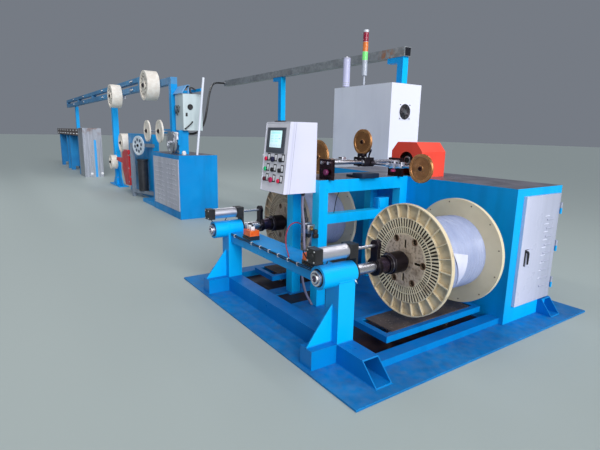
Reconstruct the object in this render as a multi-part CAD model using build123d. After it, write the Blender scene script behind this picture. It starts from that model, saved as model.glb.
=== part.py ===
from build123d import *
import math
import os

# Cable insulation extrusion line, from the dual-reel take-up back to the cooling trough.
# X runs along the line, +X downstream. +Y is the drive side. Z is up, and the floor is z = 0.

# Fits
bearing_clearance = 0.3
seat_gap = 0.3

# Floor plate of the take-up, with a pit under each lift table and a smaller L-shaped one
plate_side = 2280
plate_thickness = 12
pit_floor_z = 3
pit_front_y, pit_rear_y = -690, 330
near_pit_x0, near_pit_x1 = 398, 840
far_pit_x0, far_pit_x1 = -892, -480
small_pit_x0, small_pit_step_x, small_pit_x1 = -351, -310, -128
small_pit_front_y, small_pit_step_y, small_pit_rear_y = -682, -565, -330

# Reel stations, one on each side of the traverse table
station_x = 690
reel_axis_z = 516
reel_radius = 355
reel_front_y, reel_rear_y = -381, 132
flange_thickness = 26
skin_thickness = 6
core_radius = 160
core_wall = 8
winding_radius = 245
bore_radius = 40
bore_wall = 6

# Front floor beam and the parts that stand on it
beam_front_y, beam_rear_y = -943, -829
beam_height = 112
tube_wall = 6
post_side = 116
sleeve_front_y, sleeve_rear_y = -1049, -815
sleeve_radius = 66
spindle_radius = 32

# Lift tables
lift_inner_x, lift_outer_x = 505, 807
lift_front_y, lift_rear_y = -614, 300
lift_top_z = 110
angle_leg = 40
angle_thickness = 5

# Drive cabinet
cabinet_front_y, cabinet_rear_y = 350, 920
cabinet_end_x = 956
cabinet_height = 950

# Traverse table
table_near_x, table_far_x = 15, -400
table_front_y = -545
table_top_z = 945
table_leg = 80
top_thickness = 8
traverse_y = -110

# Control box, hung on the front of the traverse table
box_near_x, box_far_x = -30, -350
box_bottom_z, box_top_z = 863, 1350
box_bottom_front_y, box_top_front_y = -815, -762

# Haul-off cabinet, and the flat housing upstream of it
haul_near_x, haul_far_x = -3700, -4980
haul_front_y, haul_rear_y = -250, 335
haul_height = 925
housing_near_x, housing_far_x = -5760, -7500
housing_rear_y = 110

# Accumulator
rail_front_y, rail_rear_y = -100, 0
rail_bottom_z, rail_top_z = 1960, 2060
rail_near_x, rail_far_x = -4370, -15300

# Cooling trough
trough_front_y, trough_rear_y = -430, 30
trough_near_x = -10450
head_length = 700
head_height = 1280
bay_length = 2200
bay_count = 2


def block(x0, x1, y0, y1, z0, z1):
    """Rectangular solid between two corners."""
    return Pos((x0 + x1) / 2, (y0 + y1) / 2, (z0 + z1) / 2) * Box(x1 - x0, y1 - y0, z1 - z0)


def rod_x(y, z, radius, x0, x1):
    """Round bar along X."""
    return Pos((x0 + x1) / 2, y, z) * Rot(0, 90, 0) * Cylinder(radius, x1 - x0)


def rod_y(x, z, radius, y0, y1):
    """Round bar along Y."""
    return Pos(x, (y0 + y1) / 2, z) * Rot(90, 0, 0) * Cylinder(radius, y1 - y0)


def rod_z(x, y, radius, z0, z1):
    """Round bar along Z."""
    return Pos(x, y, (z0 + z1) / 2) * Cylinder(radius, z1 - z0)


def prism_y(points, y0, y1):
    """Solid with an outline of (x, z) points, between two Y planes."""
    return Pos(0, y1, 0) * extrude(Plane.XZ * make_face(Polyline(*points, close=True)), y1 - y0)


def prism_x(points, x0, x1):
    """Solid with an outline of (y, z) points, between two X planes."""
    return Pos(x0, 0, 0) * extrude(Plane.YZ * make_face(Polyline(*points, close=True)), x1 - x0)


def turned(points, x, z, y):
    """Solid of revolution about a Y axis through (x, z), from (radius, distance along +Y) points."""
    outline = make_face(Polyline(*[(r, h, 0) for r, h in points], close=True))
    return Pos(x, y, z) * revolve(outline, Axis.Y)


def save(name, *solids):
    """Write the solids of one node."""
    kept = []
    for item in solids:
        kept += list(item.solids())
    shape = kept[0] if len(kept) == 1 else Compound(children=kept)
    export_step(shape, f"parts/{name}.step")


os.makedirs("parts", exist_ok=True)
sides = ((1, "near"), (-1, "far"))
half_plate = plate_side / 2
plate_top_z = plate_thickness

# Take-up floor plate
plate = block(-half_plate, half_plate, -half_plate, half_plate, 0, plate_top_z)
cut_z = plate_top_z + 1
plate -= block(near_pit_x0, near_pit_x1, pit_front_y, pit_rear_y, pit_floor_z, cut_z)
plate -= block(far_pit_x0, far_pit_x1, pit_front_y, pit_rear_y, pit_floor_z, cut_z)
plate -= block(small_pit_x0, small_pit_x1, small_pit_front_y, small_pit_step_y, pit_floor_z, cut_z)
plate -= block(small_pit_step_x, small_pit_x1, small_pit_step_y, small_pit_rear_y, pit_floor_z, cut_z)
save("base_plate", plate)

# Floor beams: square tubes cut obliquely at their ends, foot blocks, flat bars beside the pits
beam_top_z = plate_top_z + beam_height
beam_end_x = 1070
front_beam_cut = 115
rear_beam_cut = 85
rear_beam_front_y, rear_beam_rear_y = 780, 895
foot_front_y = -1116
foot_width = 108
bar_width = 85
bar_height = 42


def floor_beam(low_x0, low_x1, top_x0, top_x1, front_y, rear_y):
    """Open tube along X, its bottom and top edges ending at different lengths."""
    outline = ((low_x0, plate_top_z), (low_x1, plate_top_z), (top_x1, beam_top_z), (top_x0, beam_top_z))
    tube = prism_y(outline, front_y, rear_y)
    hollow = block(low_x0 - 1, low_x1 + 1, front_y + tube_wall, rear_y - tube_wall,
                   plate_top_z + tube_wall, beam_top_z - tube_wall)
    return tube - hollow


front_top_x = beam_end_x - front_beam_cut
rear_top_x = beam_end_x - rear_beam_cut
beams = floor_beam(-beam_end_x, beam_end_x, -front_top_x, front_top_x, beam_front_y, beam_rear_y)
for side, label in sides:
    foot_x = side * station_x
    beams += block(foot_x - foot_width / 2, foot_x + foot_width / 2, foot_front_y, beam_front_y,
                   plate_top_z, beam_top_z)
for x0 in (near_pit_x1, far_pit_x0 - bar_width):
    beams += block(x0, x0 + bar_width, beam_rear_y, cabinet_front_y, plate_top_z, plate_top_z + bar_height)
rear_near = floor_beam(cabinet_end_x, beam_end_x, cabinet_end_x, rear_top_x, rear_beam_front_y,
                       rear_beam_rear_y)
rear_far = floor_beam(-beam_end_x, -cabinet_end_x, -rear_top_x, -cabinet_end_x, rear_beam_front_y,
                      rear_beam_rear_y)

# Tie between the pedestals, a wide tube that carries the hoses
tie_front_y, tie_rear_y = -925, -745
tie_bottom_z, tie_top_z = 415, 492
tie_end_x = station_x - post_side / 2
tie = block(-tie_end_x, tie_end_x, tie_front_y, tie_rear_y, tie_bottom_z, tie_top_z)
tie -= block(-tie_end_x - 1, tie_end_x + 1, tie_front_y + tube_wall, tie_rear_y - tube_wall,
             tie_bottom_z + tube_wall, tie_top_z - tube_wall)
for side, label in sides:
    tie -= rod_y(side * station_x, reel_axis_z, sleeve_radius, tie_front_y - 1, tie_rear_y + 1)
save("frame_beams", beams, rear_near, rear_far, tie)

# Pedestals: a square post with a gusset in front, and the bored sleeve across its top
gusset_top_z = 348
web_thickness = 8
post_front_y = (beam_front_y + beam_rear_y - post_side) / 2
post_rear_y = post_front_y + post_side


def pedestal(x):
    half = post_side / 2
    post = block(x - half, x + half, post_front_y, post_rear_y, beam_top_z, reel_axis_z)
    gusset = prism_x(((post_front_y, beam_top_z), (foot_front_y, beam_top_z), (post_front_y, gusset_top_z)),
                     x - web_thickness / 2, x + web_thickness / 2)
    sleeve = rod_y(x, reel_axis_z, sleeve_radius, sleeve_front_y, sleeve_rear_y)
    bore = rod_y(x, reel_axis_z, spindle_radius + bearing_clearance, sleeve_front_y - 1, sleeve_rear_y + 1)
    return post + gusset + sleeve - bore


save("pedestals", *[pedestal(side * station_x) for side, label in sides])

# Sliding quill: spindle with an end nut, bright ring and the rod of its air cylinder
spindle_front_y = -1069
nut_radius = 43
nut_rear_y = sleeve_front_y - 2
collar_front_y, collar_rear_y = -638, -612
collar_radius = 56
ring_radius = 47
ring_rear_y = -545
yoke_front_y, yoke_rear_y = -642, -617
cylinder_z = 645
rod_front_y = -830
rod_radius = 9


def quill(x):
    spindle = rod_y(x, reel_axis_z, spindle_radius, spindle_front_y, yoke_front_y)
    spindle += rod_y(x, reel_axis_z, nut_radius, spindle_front_y + 4, nut_rear_y)
    ring = rod_y(x, reel_axis_z, ring_radius, collar_rear_y, ring_rear_y)
    rod = rod_y(x, cylinder_z, rod_radius, rod_front_y, yoke_front_y)
    return spindle, ring, rod


# Nose of the quill: the collar with its upright yoke, the cup, and the centre that faces the reel bore
yoke_width = 56
yoke_eye_radius = 34
cup_rear_y = -415
cup_neck_radius, cup_radius = 56, 66
cup_neck_length, cup_flare_length = 24, 33
centre_radius = bore_radius - 3
centre_rear_y = -388


def nose(x):
    collar = rod_y(x, reel_axis_z, collar_radius, collar_front_y, collar_rear_y)
    yoke = block(x - yoke_width / 2, x + yoke_width / 2, yoke_front_y, yoke_rear_y, reel_axis_z, cylinder_z)
    yoke += rod_y(x, cylinder_z, yoke_eye_radius, yoke_front_y, yoke_rear_y)
    cup_length = cup_rear_y - ring_rear_y
    full_length = centre_rear_y - ring_rear_y
    cup = turned([(0, 0), (cup_neck_radius, 0), (cup_neck_radius, cup_neck_length),
                  (cup_radius, cup_flare_length), (cup_radius, cup_length), (centre_radius, cup_length),
                  (centre_radius, full_length), (0, full_length)], x, reel_axis_z, ring_rear_y)
    return collar + yoke, cup


for side, label in sides:
    save("quill_" + label, *quill(side * station_x))
    save("quill_nose_" + label, *nose(side * station_x))

# Air cylinders above the sleeves: bored barrel, end cap, and a head whose plate sits on the sleeve
barrel_front_y, barrel_rear_y = -1047, -860
barrel_radius, barrel_bore = 40, 35
cap_front_y = -1097
cap_side = 80
head_rear_y = -800
head_plate_radius = 62


def cylinder_barrel(x):
    barrel = rod_y(x, cylinder_z, barrel_radius, barrel_front_y, barrel_rear_y)
    return barrel - rod_y(x, cylinder_z, barrel_bore, barrel_front_y - 1, barrel_rear_y + 1)


def end_cap(x):
    half = cap_side / 2
    return block(x - half, x + half, cap_front_y, barrel_front_y, cylinder_z - half, cylinder_z + half)


def cylinder_head(x):
    half = cap_side / 2
    head = block(x - half, x + half, barrel_rear_y, head_rear_y, cylinder_z - half, cylinder_z + half)
    head += block(x - half, x + half, sleeve_rear_y, head_rear_y, reel_axis_z, cylinder_z)
    head += rod_y(x, reel_axis_z, head_plate_radius, sleeve_rear_y, head_rear_y)
    head -= rod_y(x, reel_axis_z, spindle_radius + 2, sleeve_rear_y - 1, head_rear_y + 1)
    return head - rod_y(x, cylinder_z, rod_radius + bearing_clearance, barrel_rear_y - 1, head_rear_y + 1)


barrels = []
caps = []
for side, label in sides:
    barrels.append(cylinder_barrel(side * station_x))
    caps.append(end_cap(side * station_x))
    caps.append(cylinder_head(side * station_x))
save("cylinder_barrels", *barrels)
save("cylinder_caps", *caps)

# Valve boxes on the tie: a black sub-base and an orange cover
valve_front_y, valve_rear_y = -925, -845
valve_split_z, valve_top_z = 524, 564
valve_length, valve_cover_inset = 110, 2


def valve_box(x0):
    base = block(x0, x0 + valve_length, valve_front_y, valve_rear_y, tie_top_z, valve_split_z)
    return base + block(x0 + valve_cover_inset, x0 + valve_length - valve_cover_inset,
                        valve_front_y + valve_cover_inset, valve_rear_y - valve_cover_inset,
                        valve_split_z, valve_top_z)


near_valve_x, far_valve_x = 362, -420
save("valve_boxes", valve_box(near_valve_x), valve_box(far_valve_x))

# Moulded reel: flange with ribs and two rings of lattice pockets, and a barrel between the flanges
lattice_inner = 0.481 * reel_radius
lattice_gap_inner = 0.583 * reel_radius
lattice_gap_outer = 0.60 * reel_radius
lattice_outer = 0.742 * reel_radius
bar_count = 72
rib_count = 24
rim_wall = 7
rib_width = 6
web_edge = 5
outer_slot_width = 11
inner_slot_width = 8.5
recess_circle = 0.42 * reel_radius
recess_radius = 17
slot_circle = 0.30 * reel_radius
drive_slot_length, drive_slot_width = 52, 16


def ring_of(radius, count, shape):
    """Sketch of like shapes evenly spaced on a circle."""
    return Sketch() + PolarLocations(radius, count) * shape


def flange(latticed):
    """Flange about Z, its plain inner face on z = 0 and its ribbed face up."""
    base = (Align.CENTER, Align.CENTER, Align.MIN)
    raised = flange_thickness - skin_thickness
    rim = Circle(reel_radius) - Circle(reel_radius - rim_wall)
    rib_length = reel_radius - lattice_outer - 2
    ribs = ring_of((lattice_outer + reel_radius) / 2, rib_count, Rectangle(rib_length, rib_width))
    sketch = rim + ribs + Circle(lattice_outer + web_edge)
    if latticed:
        outer = Rectangle(lattice_outer - lattice_gap_outer, outer_slot_width)
        inner = Rectangle(lattice_gap_inner - lattice_inner, inner_slot_width)
        sketch -= ring_of((lattice_outer + lattice_gap_outer) / 2, bar_count, outer)
        sketch -= ring_of((lattice_inner + lattice_gap_inner) / 2, bar_count, inner)
    sketch -= ring_of(recess_circle, 6, Circle(recess_radius))
    body = Cylinder(reel_radius, skin_thickness, align=base)
    body += Pos(0, 0, skin_thickness) * extrude(sketch, raised)
    drive = ring_of(slot_circle, 4, SlotOverall(drive_slot_length, drive_slot_width))
    body -= Pos(0, 0, -1) * extrude(drive, flange_thickness + 2)
    body -= Pos(0, 0, -1) * Cylinder(bore_radius, flange_thickness + 2, align=base)
    return body


inner_front_y = reel_front_y + flange_thickness
inner_rear_y = reel_rear_y - flange_thickness


def reel(x):
    front = Pos(x, inner_front_y, reel_axis_z) * Rot(90, 0, 0) * flange(True)
    rear = Pos(x, inner_rear_y, reel_axis_z) * Rot(-90, 0, 0) * flange(False)
    core = rod_y(x, reel_axis_z, core_radius, inner_front_y, inner_rear_y)
    core -= rod_y(x, reel_axis_z, core_radius - core_wall, inner_front_y, inner_rear_y)
    tube = rod_y(x, reel_axis_z, bore_radius + bore_wall, inner_front_y, inner_rear_y)
    tube -= rod_y(x, reel_axis_z, bore_radius, inner_front_y, inner_rear_y)
    return front + rear + core + tube


def winding(x):
    wound = rod_y(x, reel_axis_z, winding_radius, inner_front_y, inner_rear_y)
    return wound - rod_y(x, reel_axis_z, core_radius, inner_front_y - 1, inner_rear_y + 1)


# Drive chuck behind each reel: drive plate, hub, shaft and the centre that enters the bore
chuck_radius = 150
chuck_thickness = 20
hub_radius = 62
hub_length = 60
shaft_radius = 32
centre_length = 60


def drive_chuck(x):
    plate_rear_y = reel_rear_y + chuck_thickness
    chuck = rod_y(x, reel_axis_z, chuck_radius, reel_rear_y, plate_rear_y)
    chuck += rod_y(x, reel_axis_z, hub_radius, plate_rear_y, plate_rear_y + hub_length)
    chuck += rod_y(x, reel_axis_z, shaft_radius, plate_rear_y + hub_length, cabinet_front_y - seat_gap)
    return chuck + rod_y(x, reel_axis_z, bore_radius - seat_gap, reel_rear_y - centre_length, reel_rear_y)


for side, label in sides:
    save("reel_" + label, reel(side * station_x))
    save("winding_" + label, winding(side * station_x))
    save("drive_chuck_" + label, drive_chuck(side * station_x))

# Lift tables: angle frame with a rubber mat, guided by two rams that stand in the pit
ram_y = (-440, 130)
ram_radius = 18
ram_wall = 6
ram_top_z = 62
ram_floor = 4
mat_thickness = 6
mat_inset_x, mat_inset_y = 35, 75
cross_plate_half = 40
cross_plate_thickness = 12


def lift_frame(side):
    x0, x1 = sorted((side * lift_inner_x, side * lift_outer_x))
    skirt_z = lift_top_z - angle_leg
    under_z = lift_top_z - angle_thickness
    frame = block(x0, x1, lift_front_y, lift_rear_y, skirt_z, lift_top_z)
    frame -= block(x0 + angle_thickness, x1 - angle_thickness, lift_front_y + angle_thickness,
                   lift_rear_y - angle_thickness, skirt_z - 1, under_z)
    frame -= block(x0 + angle_leg, x1 - angle_leg, lift_front_y + angle_leg, lift_rear_y - angle_leg,
                   under_z - 1, lift_top_z + 1)
    for y in ram_y:
        frame += block(x0 + angle_thickness, x1 - angle_thickness, y - cross_plate_half,
                       y + cross_plate_half, under_z - cross_plate_thickness, under_z)
        frame += rod_z((x0 + x1) / 2, y, ram_radius - ram_wall, plate_top_z, under_z - cross_plate_thickness)
    return frame


def lift_mat(side):
    x0, x1 = sorted((side * lift_inner_x, side * lift_outer_x))
    return block(x0 + mat_inset_x, x1 - mat_inset_x, lift_front_y + mat_inset_y, lift_rear_y - mat_inset_y,
                 lift_top_z, lift_top_z + mat_thickness)


def lift_ram(x, y):
    bore = ram_radius - ram_wall + bearing_clearance
    ram = rod_z(x, y, ram_radius, pit_floor_z, ram_top_z)
    return ram - rod_z(x, y, bore, pit_floor_z + ram_floor, ram_top_z + 1)


rams = []
for side, label in sides:
    save("lift_frame_" + label, lift_frame(side))
    save("lift_mat_" + label, lift_mat(side))
    for y in ram_y:
        rams.append(lift_ram(side * (lift_inner_x + lift_outer_x) / 2, y))
save("lift_rams", *rams)

# Drive cabinet with a bearing boss for each reel shaft, and hinge knuckles for its end door
boss_radius = 70
boss_length = 30
boss_recess = 20
hinge_x, hinge_y = 984, 884
knuckle_radius = 8
knuckle_length = 40
knuckle_gap = 0.5
hinge_levels = (240, 515, 790)
door_front_y, door_rear_y = 431, 876
door_bottom_z, door_top_z = 132, 898
door_inner_x = cabinet_end_x + 0.5
door_outer_x = door_inner_x + 22
leaf_thickness = 4

cabinet = block(-cabinet_end_x, cabinet_end_x, cabinet_front_y, cabinet_rear_y, plate_top_z, cabinet_height)
for side, label in sides:
    x = side * station_x
    cabinet += rod_y(x, reel_axis_z, boss_radius, cabinet_front_y - boss_length, cabinet_front_y)
    cabinet -= rod_y(x, reel_axis_z, shaft_radius + bearing_clearance, cabinet_front_y - boss_length - 1,
                     cabinet_front_y + boss_recess)
for z in hinge_levels:
    cabinet += rod_z(hinge_x, hinge_y, knuckle_radius, z - knuckle_length, z)
    cabinet += block(cabinet_end_x, hinge_x, hinge_y + 1, hinge_y + 1 + leaf_thickness, z - knuckle_length, z)
save("drive_cabinet", cabinet)

# End door: louvres pressed in it, a handle plate, and its own knuckles above the cabinet's
louvre_count = 9
louvre_z0, louvre_z1 = 234, 721
louvre_y = 765
louvre_length = 90
louvre_radius = 7
handle_y0, handle_y1 = 492, 546
handle_z0, handle_z1 = 416, 531
handle_depth = 9

door = block(door_inner_x, door_outer_x, door_front_y, door_rear_y, door_bottom_z, door_top_z)
door += block(door_outer_x, door_outer_x + handle_depth, handle_y0, handle_y1, handle_z0, handle_z1)
for index in range(louvre_count):
    z = louvre_z0 + index * (louvre_z1 - louvre_z0) / (louvre_count - 1)
    door += rod_y(door_outer_x, z, louvre_radius, louvre_y - louvre_length / 2, louvre_y + louvre_length / 2)
for z in hinge_levels:
    z0 = z + knuckle_gap
    door += rod_z(hinge_x, hinge_y, knuckle_radius, z0, z0 + knuckle_length)
    door += block(door_outer_x - leaf_thickness, door_outer_x, door_rear_y - 1, hinge_y, z0,
                  z0 + knuckle_length)
save("cabinet_door", door)

# Traverse table: welded frame of square tube with a thin top plate
top_rail_height = 85
mid_rail_z0, mid_rail_z1 = 632, 702
rail_z0 = table_top_z - top_rail_height
leg_xs = (table_far_x, table_near_x - table_leg)
leg_ys = (table_front_y, cabinet_front_y - table_leg)

table = block(table_far_x, table_near_x, table_front_y, cabinet_front_y, table_top_z,
              table_top_z + top_thickness)
for x0 in leg_xs:
    for y0 in leg_ys:
        table += block(x0, x0 + table_leg, y0, y0 + table_leg, plate_top_z, table_top_z)
    table += block(x0, x0 + table_leg, table_front_y, cabinet_front_y, rail_z0, table_top_z)
table += block(leg_xs[1], table_near_x, table_front_y, cabinet_front_y, mid_rail_z0, mid_rail_z1)
for y0 in leg_ys:
    table += block(table_far_x, table_near_x, y0, y0 + table_leg, rail_z0, table_top_z)
save("traverse_frame", table)

# Traverse rods in two bearing stands
guide_mid_x = -17.5
guide_spacing = 75
guide_radius = 12
guide_z = 1073
guide_front_y, guide_rear_y = -470, 250
stand_half = 75
stand_thickness = 22
stand_top_z = guide_z + 25
guide_xs = (guide_mid_x - guide_spacing / 2, guide_mid_x + guide_spacing / 2)

guides = None
for y in (guide_front_y, guide_rear_y - stand_thickness):
    stand = block(guide_mid_x - stand_half, guide_mid_x + stand_half, y, y + stand_thickness,
                  table_top_z + top_thickness, stand_top_z)
    guides = stand if guides is None else guides + stand
for x in guide_xs:
    guides += rod_y(x, guide_z, guide_radius, guide_front_y, guide_rear_y)
save("traverse_rods", guides)

# Traverse carriage with the mast of the top pulley
pulley_radius, far_pulley_radius = 95, 148
pulley_width = 18
near_pulley_x, near_pulley_z = 539, 1064
far_pulley_x, far_pulley_z = -600, 1074
top_pulley_x, top_pulley_z = -38, 1220
carriage_half_x, carriage_half_y = 62, 45
carriage_bottom_z, carriage_top_z = 1043, 1108
mast_half = 12
mast_thickness = 14
mast_y = traverse_y + 16

carriage = block(guide_mid_x - carriage_half_x, guide_mid_x + carriage_half_x, traverse_y - carriage_half_y,
                 traverse_y + carriage_half_y, carriage_bottom_z, carriage_top_z)
for x in guide_xs:
    carriage -= rod_y(x, guide_z, guide_radius + bearing_clearance, traverse_y - carriage_half_y - 1,
                      traverse_y + carriage_half_y + 1)
carriage += block(top_pulley_x - mast_half, top_pulley_x + mast_half, mast_y, mast_y + mast_thickness,
                  carriage_top_z, top_pulley_z + mast_half)
save("traverse_carriage", carriage)

# Cross arms along X, each with a bracket and an axle for its pulley, and the axle on the mast
arm_y = traverse_y + 30
arm_z = 1066
arm_radius = 11
axle_radius = 8
axle_front_y = traverse_y - 20
bracket_half = 16


def cross_arm(inner_x, pulley_x, pulley_z):
    arm = rod_x(arm_y, arm_z, arm_radius, min(inner_x, pulley_x), max(inner_x, pulley_x))
    arm += block(pulley_x - bracket_half, pulley_x + bracket_half, arm_y - arm_radius, arm_y + arm_radius,
                 min(arm_z, pulley_z) - bracket_half, max(arm_z, pulley_z) + bracket_half)
    return arm + rod_y(pulley_x, pulley_z, axle_radius, axle_front_y, arm_y - arm_radius)


save("traverse_arms", cross_arm(guide_mid_x + carriage_half_x, near_pulley_x, near_pulley_z),
     cross_arm(guide_mid_x - carriage_half_x, far_pulley_x, far_pulley_z),
     rod_y(top_pulley_x, top_pulley_z, axle_radius, axle_front_y, mast_y))


def grooved_wheel(x, z, y, radius, width, shaft):
    """Grooved wheel that turns on a Y shaft, with a thin web and a boss."""
    bore = shaft + bearing_clearance
    half = width / 2
    rim = radius * 0.80
    boss = max(radius * 0.22, bore + 5)
    points = [(bore, -half), (boss, -half), (boss, -half * 0.5), (rim, -half * 0.5), (rim + 2, -half),
              (radius, -half), (radius - width * 0.35, 0), (radius, half), (rim + 2, half),
              (rim, half * 0.5), (boss, half * 0.5), (boss, half), (bore, half)]
    return turned(points, x, z, y)


save("pulley_top", grooved_wheel(top_pulley_x, top_pulley_z, traverse_y, pulley_radius, pulley_width,
                                 axle_radius))
save("pulley_near", grooved_wheel(near_pulley_x, near_pulley_z, traverse_y, pulley_radius, pulley_width,
                                  axle_radius))
save("pulley_far", grooved_wheel(far_pulley_x, far_pulley_z, traverse_y, far_pulley_radius, pulley_width,
                                 axle_radius))

# Orange shaft guard on the cabinet, a chamfered hood with an arched opening in its front
guard_x0, guard_x1 = -178, 146
guard_rear_y = 632
guard_top_z = 1222
guard_shoulder_z = 1150
guard_chamfer = 62
guard_wall = 4
arch_x, arch_z, arch_radius = -16, 1070, 76


def guard_outline(shrink, bottom_z):
    return ((guard_x0 + shrink, bottom_z), (guard_x1 - shrink, bottom_z),
            (guard_x1 - shrink, guard_shoulder_z), (guard_x1 - guard_chamfer, guard_top_z - shrink),
            (guard_x0 + guard_chamfer, guard_top_z - shrink), (guard_x0 + shrink, guard_shoulder_z))


guard = prism_y(guard_outline(0, cabinet_height), cabinet_front_y, guard_rear_y)
guard -= prism_y(guard_outline(guard_wall, cabinet_height - 1), cabinet_front_y + guard_wall,
                 guard_rear_y - guard_wall)
guard -= rod_y(arch_x, arch_z, arch_radius, cabinet_front_y - 1, cabinet_front_y + guard_wall + 1)
guard -= block(arch_x - arch_radius, arch_x + arch_radius, cabinet_front_y - 1,
               cabinet_front_y + guard_wall + 1, cabinet_height - 1, arch_z)
save("shaft_guard", guard)

# Control box with a sloping face, its screen and push buttons
face_angle = math.atan2(box_top_front_y - box_bottom_front_y, box_top_z - box_bottom_z)
control_box = prism_x(((box_bottom_front_y, box_bottom_z), (table_front_y, box_bottom_z),
                       (table_front_y, box_top_z), (box_top_front_y, box_top_z)), box_far_x, box_near_x)
save("control_box", control_box)

screen_width, screen_height, screen_depth = 240, 176, 6
screen_x, screen_z = -198, 1224
button_rows = (1092, 1020, 948)
button_columns = (-295, -200, -105)
button_radius = 15
button_length = 18
on_base = (Align.CENTER, Align.CENTER, Align.MIN)


def on_face(x, z, solid):
    """Place a solid on the sloping face, its own +Z pointing out of the face."""
    y = box_bottom_front_y + (z - box_bottom_z) * math.tan(face_angle)
    return Pos(x, y, z) * Rot(90 - math.degrees(face_angle), 0, 0) * solid


save("hmi_screen", on_face(screen_x, screen_z, Box(screen_width, screen_height, screen_depth, align=on_base)))
buttons = []
for z in button_rows:
    for x in button_columns:
        buttons.append(on_face(x, z, Cylinder(button_radius, button_length, align=on_base)))
save("control_buttons", *buttons)

# Air filter and regulator block beside the near front leg of the table
manifold_width, manifold_depth = 80, 75
manifold_z0, manifold_z1 = 560, 640
leg_face_x = table_near_x - table_leg
save("valve_manifold", block(leg_face_x - manifold_width / 2, leg_face_x + manifold_width / 2,
                             table_front_y - manifold_depth, table_front_y, manifold_z0, manifold_z1))

# Electrical cabinet behind the take-up, with a signal tower and a second lamp
ecab_near_x, ecab_far_x = -1050, -2034
ecab_front_y, ecab_rear_y = 1189, 1655
ecab_height = 1827
tower_x, tower_y = -1650, 1325
tower_radius = 32
tower_stem, tower_length = 131, 508
lamp_x, lamp_y = -1984, 1330
lamp_radius = 44
lamp_stem, lamp_length = 27, 343
pole_radius = 11
tower_light_z = ecab_height + tower_stem
lamp_bottom_z = ecab_height + lamp_stem

save("electrical_cabinet", block(ecab_far_x, ecab_near_x, ecab_front_y, ecab_rear_y, 0, ecab_height))
tower = rod_z(tower_x, tower_y, pole_radius, ecab_height, tower_light_z)
tower += rod_z(tower_x, tower_y, tower_radius, tower_light_z, tower_light_z + tower_length)
lamp = rod_z(lamp_x, lamp_y, pole_radius, ecab_height, lamp_bottom_z)
lamp += rod_z(lamp_x, lamp_y, lamp_radius, lamp_bottom_z, lamp_bottom_z + lamp_length)
save("stack_light", tower, lamp)

# Overhead trunking on two posts, each with a bracket arm under the trunking
trunk_y = 1700
trunk_side = 105
trunk_near_x, trunk_far_x = -1330, -6250
trunk_top_z = 2282
trunk_bottom_z = trunk_top_z - trunk_side
trunk_front_y, trunk_rear_y = trunk_y - trunk_side / 2, trunk_y + trunk_side / 2
trunk_post_side = 90
trunk_post_xs = (-1400, -4095)
arm_height = 62
arm_reach = 165

trunk = block(trunk_far_x, trunk_near_x, trunk_front_y, trunk_rear_y, trunk_bottom_z, trunk_top_z)
trunk_posts = []
half_post = trunk_post_side / 2
for x in trunk_post_xs:
    post = block(x - half_post, x + half_post, trunk_y - half_post, trunk_y + half_post, 0, trunk_bottom_z)
    trunk_posts.append(post + block(x - half_post - arm_reach, x + half_post, trunk_y - half_post,
                                    trunk_y + half_post, trunk_bottom_z - arm_height, trunk_bottom_z))
save("trunking_posts", *trunk_posts)

# Haul-off cabinet with its louvred panel
haul_panel_depth = 10
haul_panel_x0, haul_panel_x1 = -4890, -3715
haul_panel_z0, haul_panel_z1 = 118, 865
save("hauloff_cabinet", block(haul_far_x, haul_near_x, haul_front_y, haul_rear_y, 0, haul_height))
save("hauloff_panel", block(haul_panel_x0, haul_panel_x1, haul_front_y - haul_panel_depth, haul_front_y,
                            haul_panel_z0, haul_panel_z1))

# Haul-off frame: lower column, tall post, wheel beam and the arm that holds the white tube
column_x0, column_x1 = -4160, -4070
column_front_y, column_rear_y = -110, 40
tester_z0, tester_z1 = 1276, 1800
tall_post_x0, tall_post_x1 = -4470, rail_near_x
wheel_beam_front_y = -60
wheel_beam_z0, wheel_beam_z1 = 1220, 1290
wheel_beam_far_x = -5290
strut_z0, strut_z1 = 1100, 1180
tube_x, tube_bottom_y, tube_top_y = -3830, 75, 198
tube_top_z = 2010
tube_radius = 17
arm_front_y, arm_rear_y = 150, 190
arm_bottom_z, arm_top_z = 1835, 1875
capstan_x = -4060
capstan_radius = 160
capstan_clearance = 15
capstan_z = haul_height + capstan_clearance + capstan_radius
capstan_bracket_half = 40
capstan_bracket_y = column_front_y - 30


def leaning_tube(radius):
    """Round tube that stands on the haul-off cabinet and leans towards +Y."""
    rise = tube_top_z - haul_height
    run = tube_top_y - tube_bottom_y
    angle = math.degrees(math.atan2(run, rise))
    length = math.hypot(rise, run)
    centre = Pos(tube_x, (tube_bottom_y + tube_top_y) / 2, (haul_height + tube_top_z) / 2)
    tube = centre * Rot(-angle, 0, 0) * Cylinder(radius, length + 2 * radius)
    return tube - block(tube_x - radius - 1, tube_x + radius + 1, 0, haul_rear_y, haul_height - 4 * radius,
                        haul_height)


haul = block(column_x0, column_x1, column_front_y, column_rear_y, haul_height, tester_z0)
haul += block(tall_post_x0, tall_post_x1, rail_front_y, rail_rear_y, haul_height, rail_bottom_z)
haul += block(tall_post_x0, column_x0, wheel_beam_front_y, 0, strut_z0, strut_z1)
haul += block(wheel_beam_far_x, tall_post_x0, wheel_beam_front_y, 0, wheel_beam_z0, wheel_beam_z1)
haul += block(capstan_x - capstan_bracket_half, capstan_x + capstan_bracket_half, capstan_bracket_y,
              column_front_y, capstan_z - capstan_bracket_half, capstan_z + capstan_bracket_half)
haul += block(tall_post_x0, tall_post_x1, rail_rear_y, arm_rear_y, arm_bottom_z, arm_top_z)
haul += block(tall_post_x0, tube_x, arm_front_y, arm_rear_y, arm_bottom_z, arm_top_z)
haul -= leaning_tube(tube_radius + seat_gap)
housing_height = 1190
housing_round = 50
base_far_x, base_front_y, base_height = -5700, -240, 60
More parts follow.
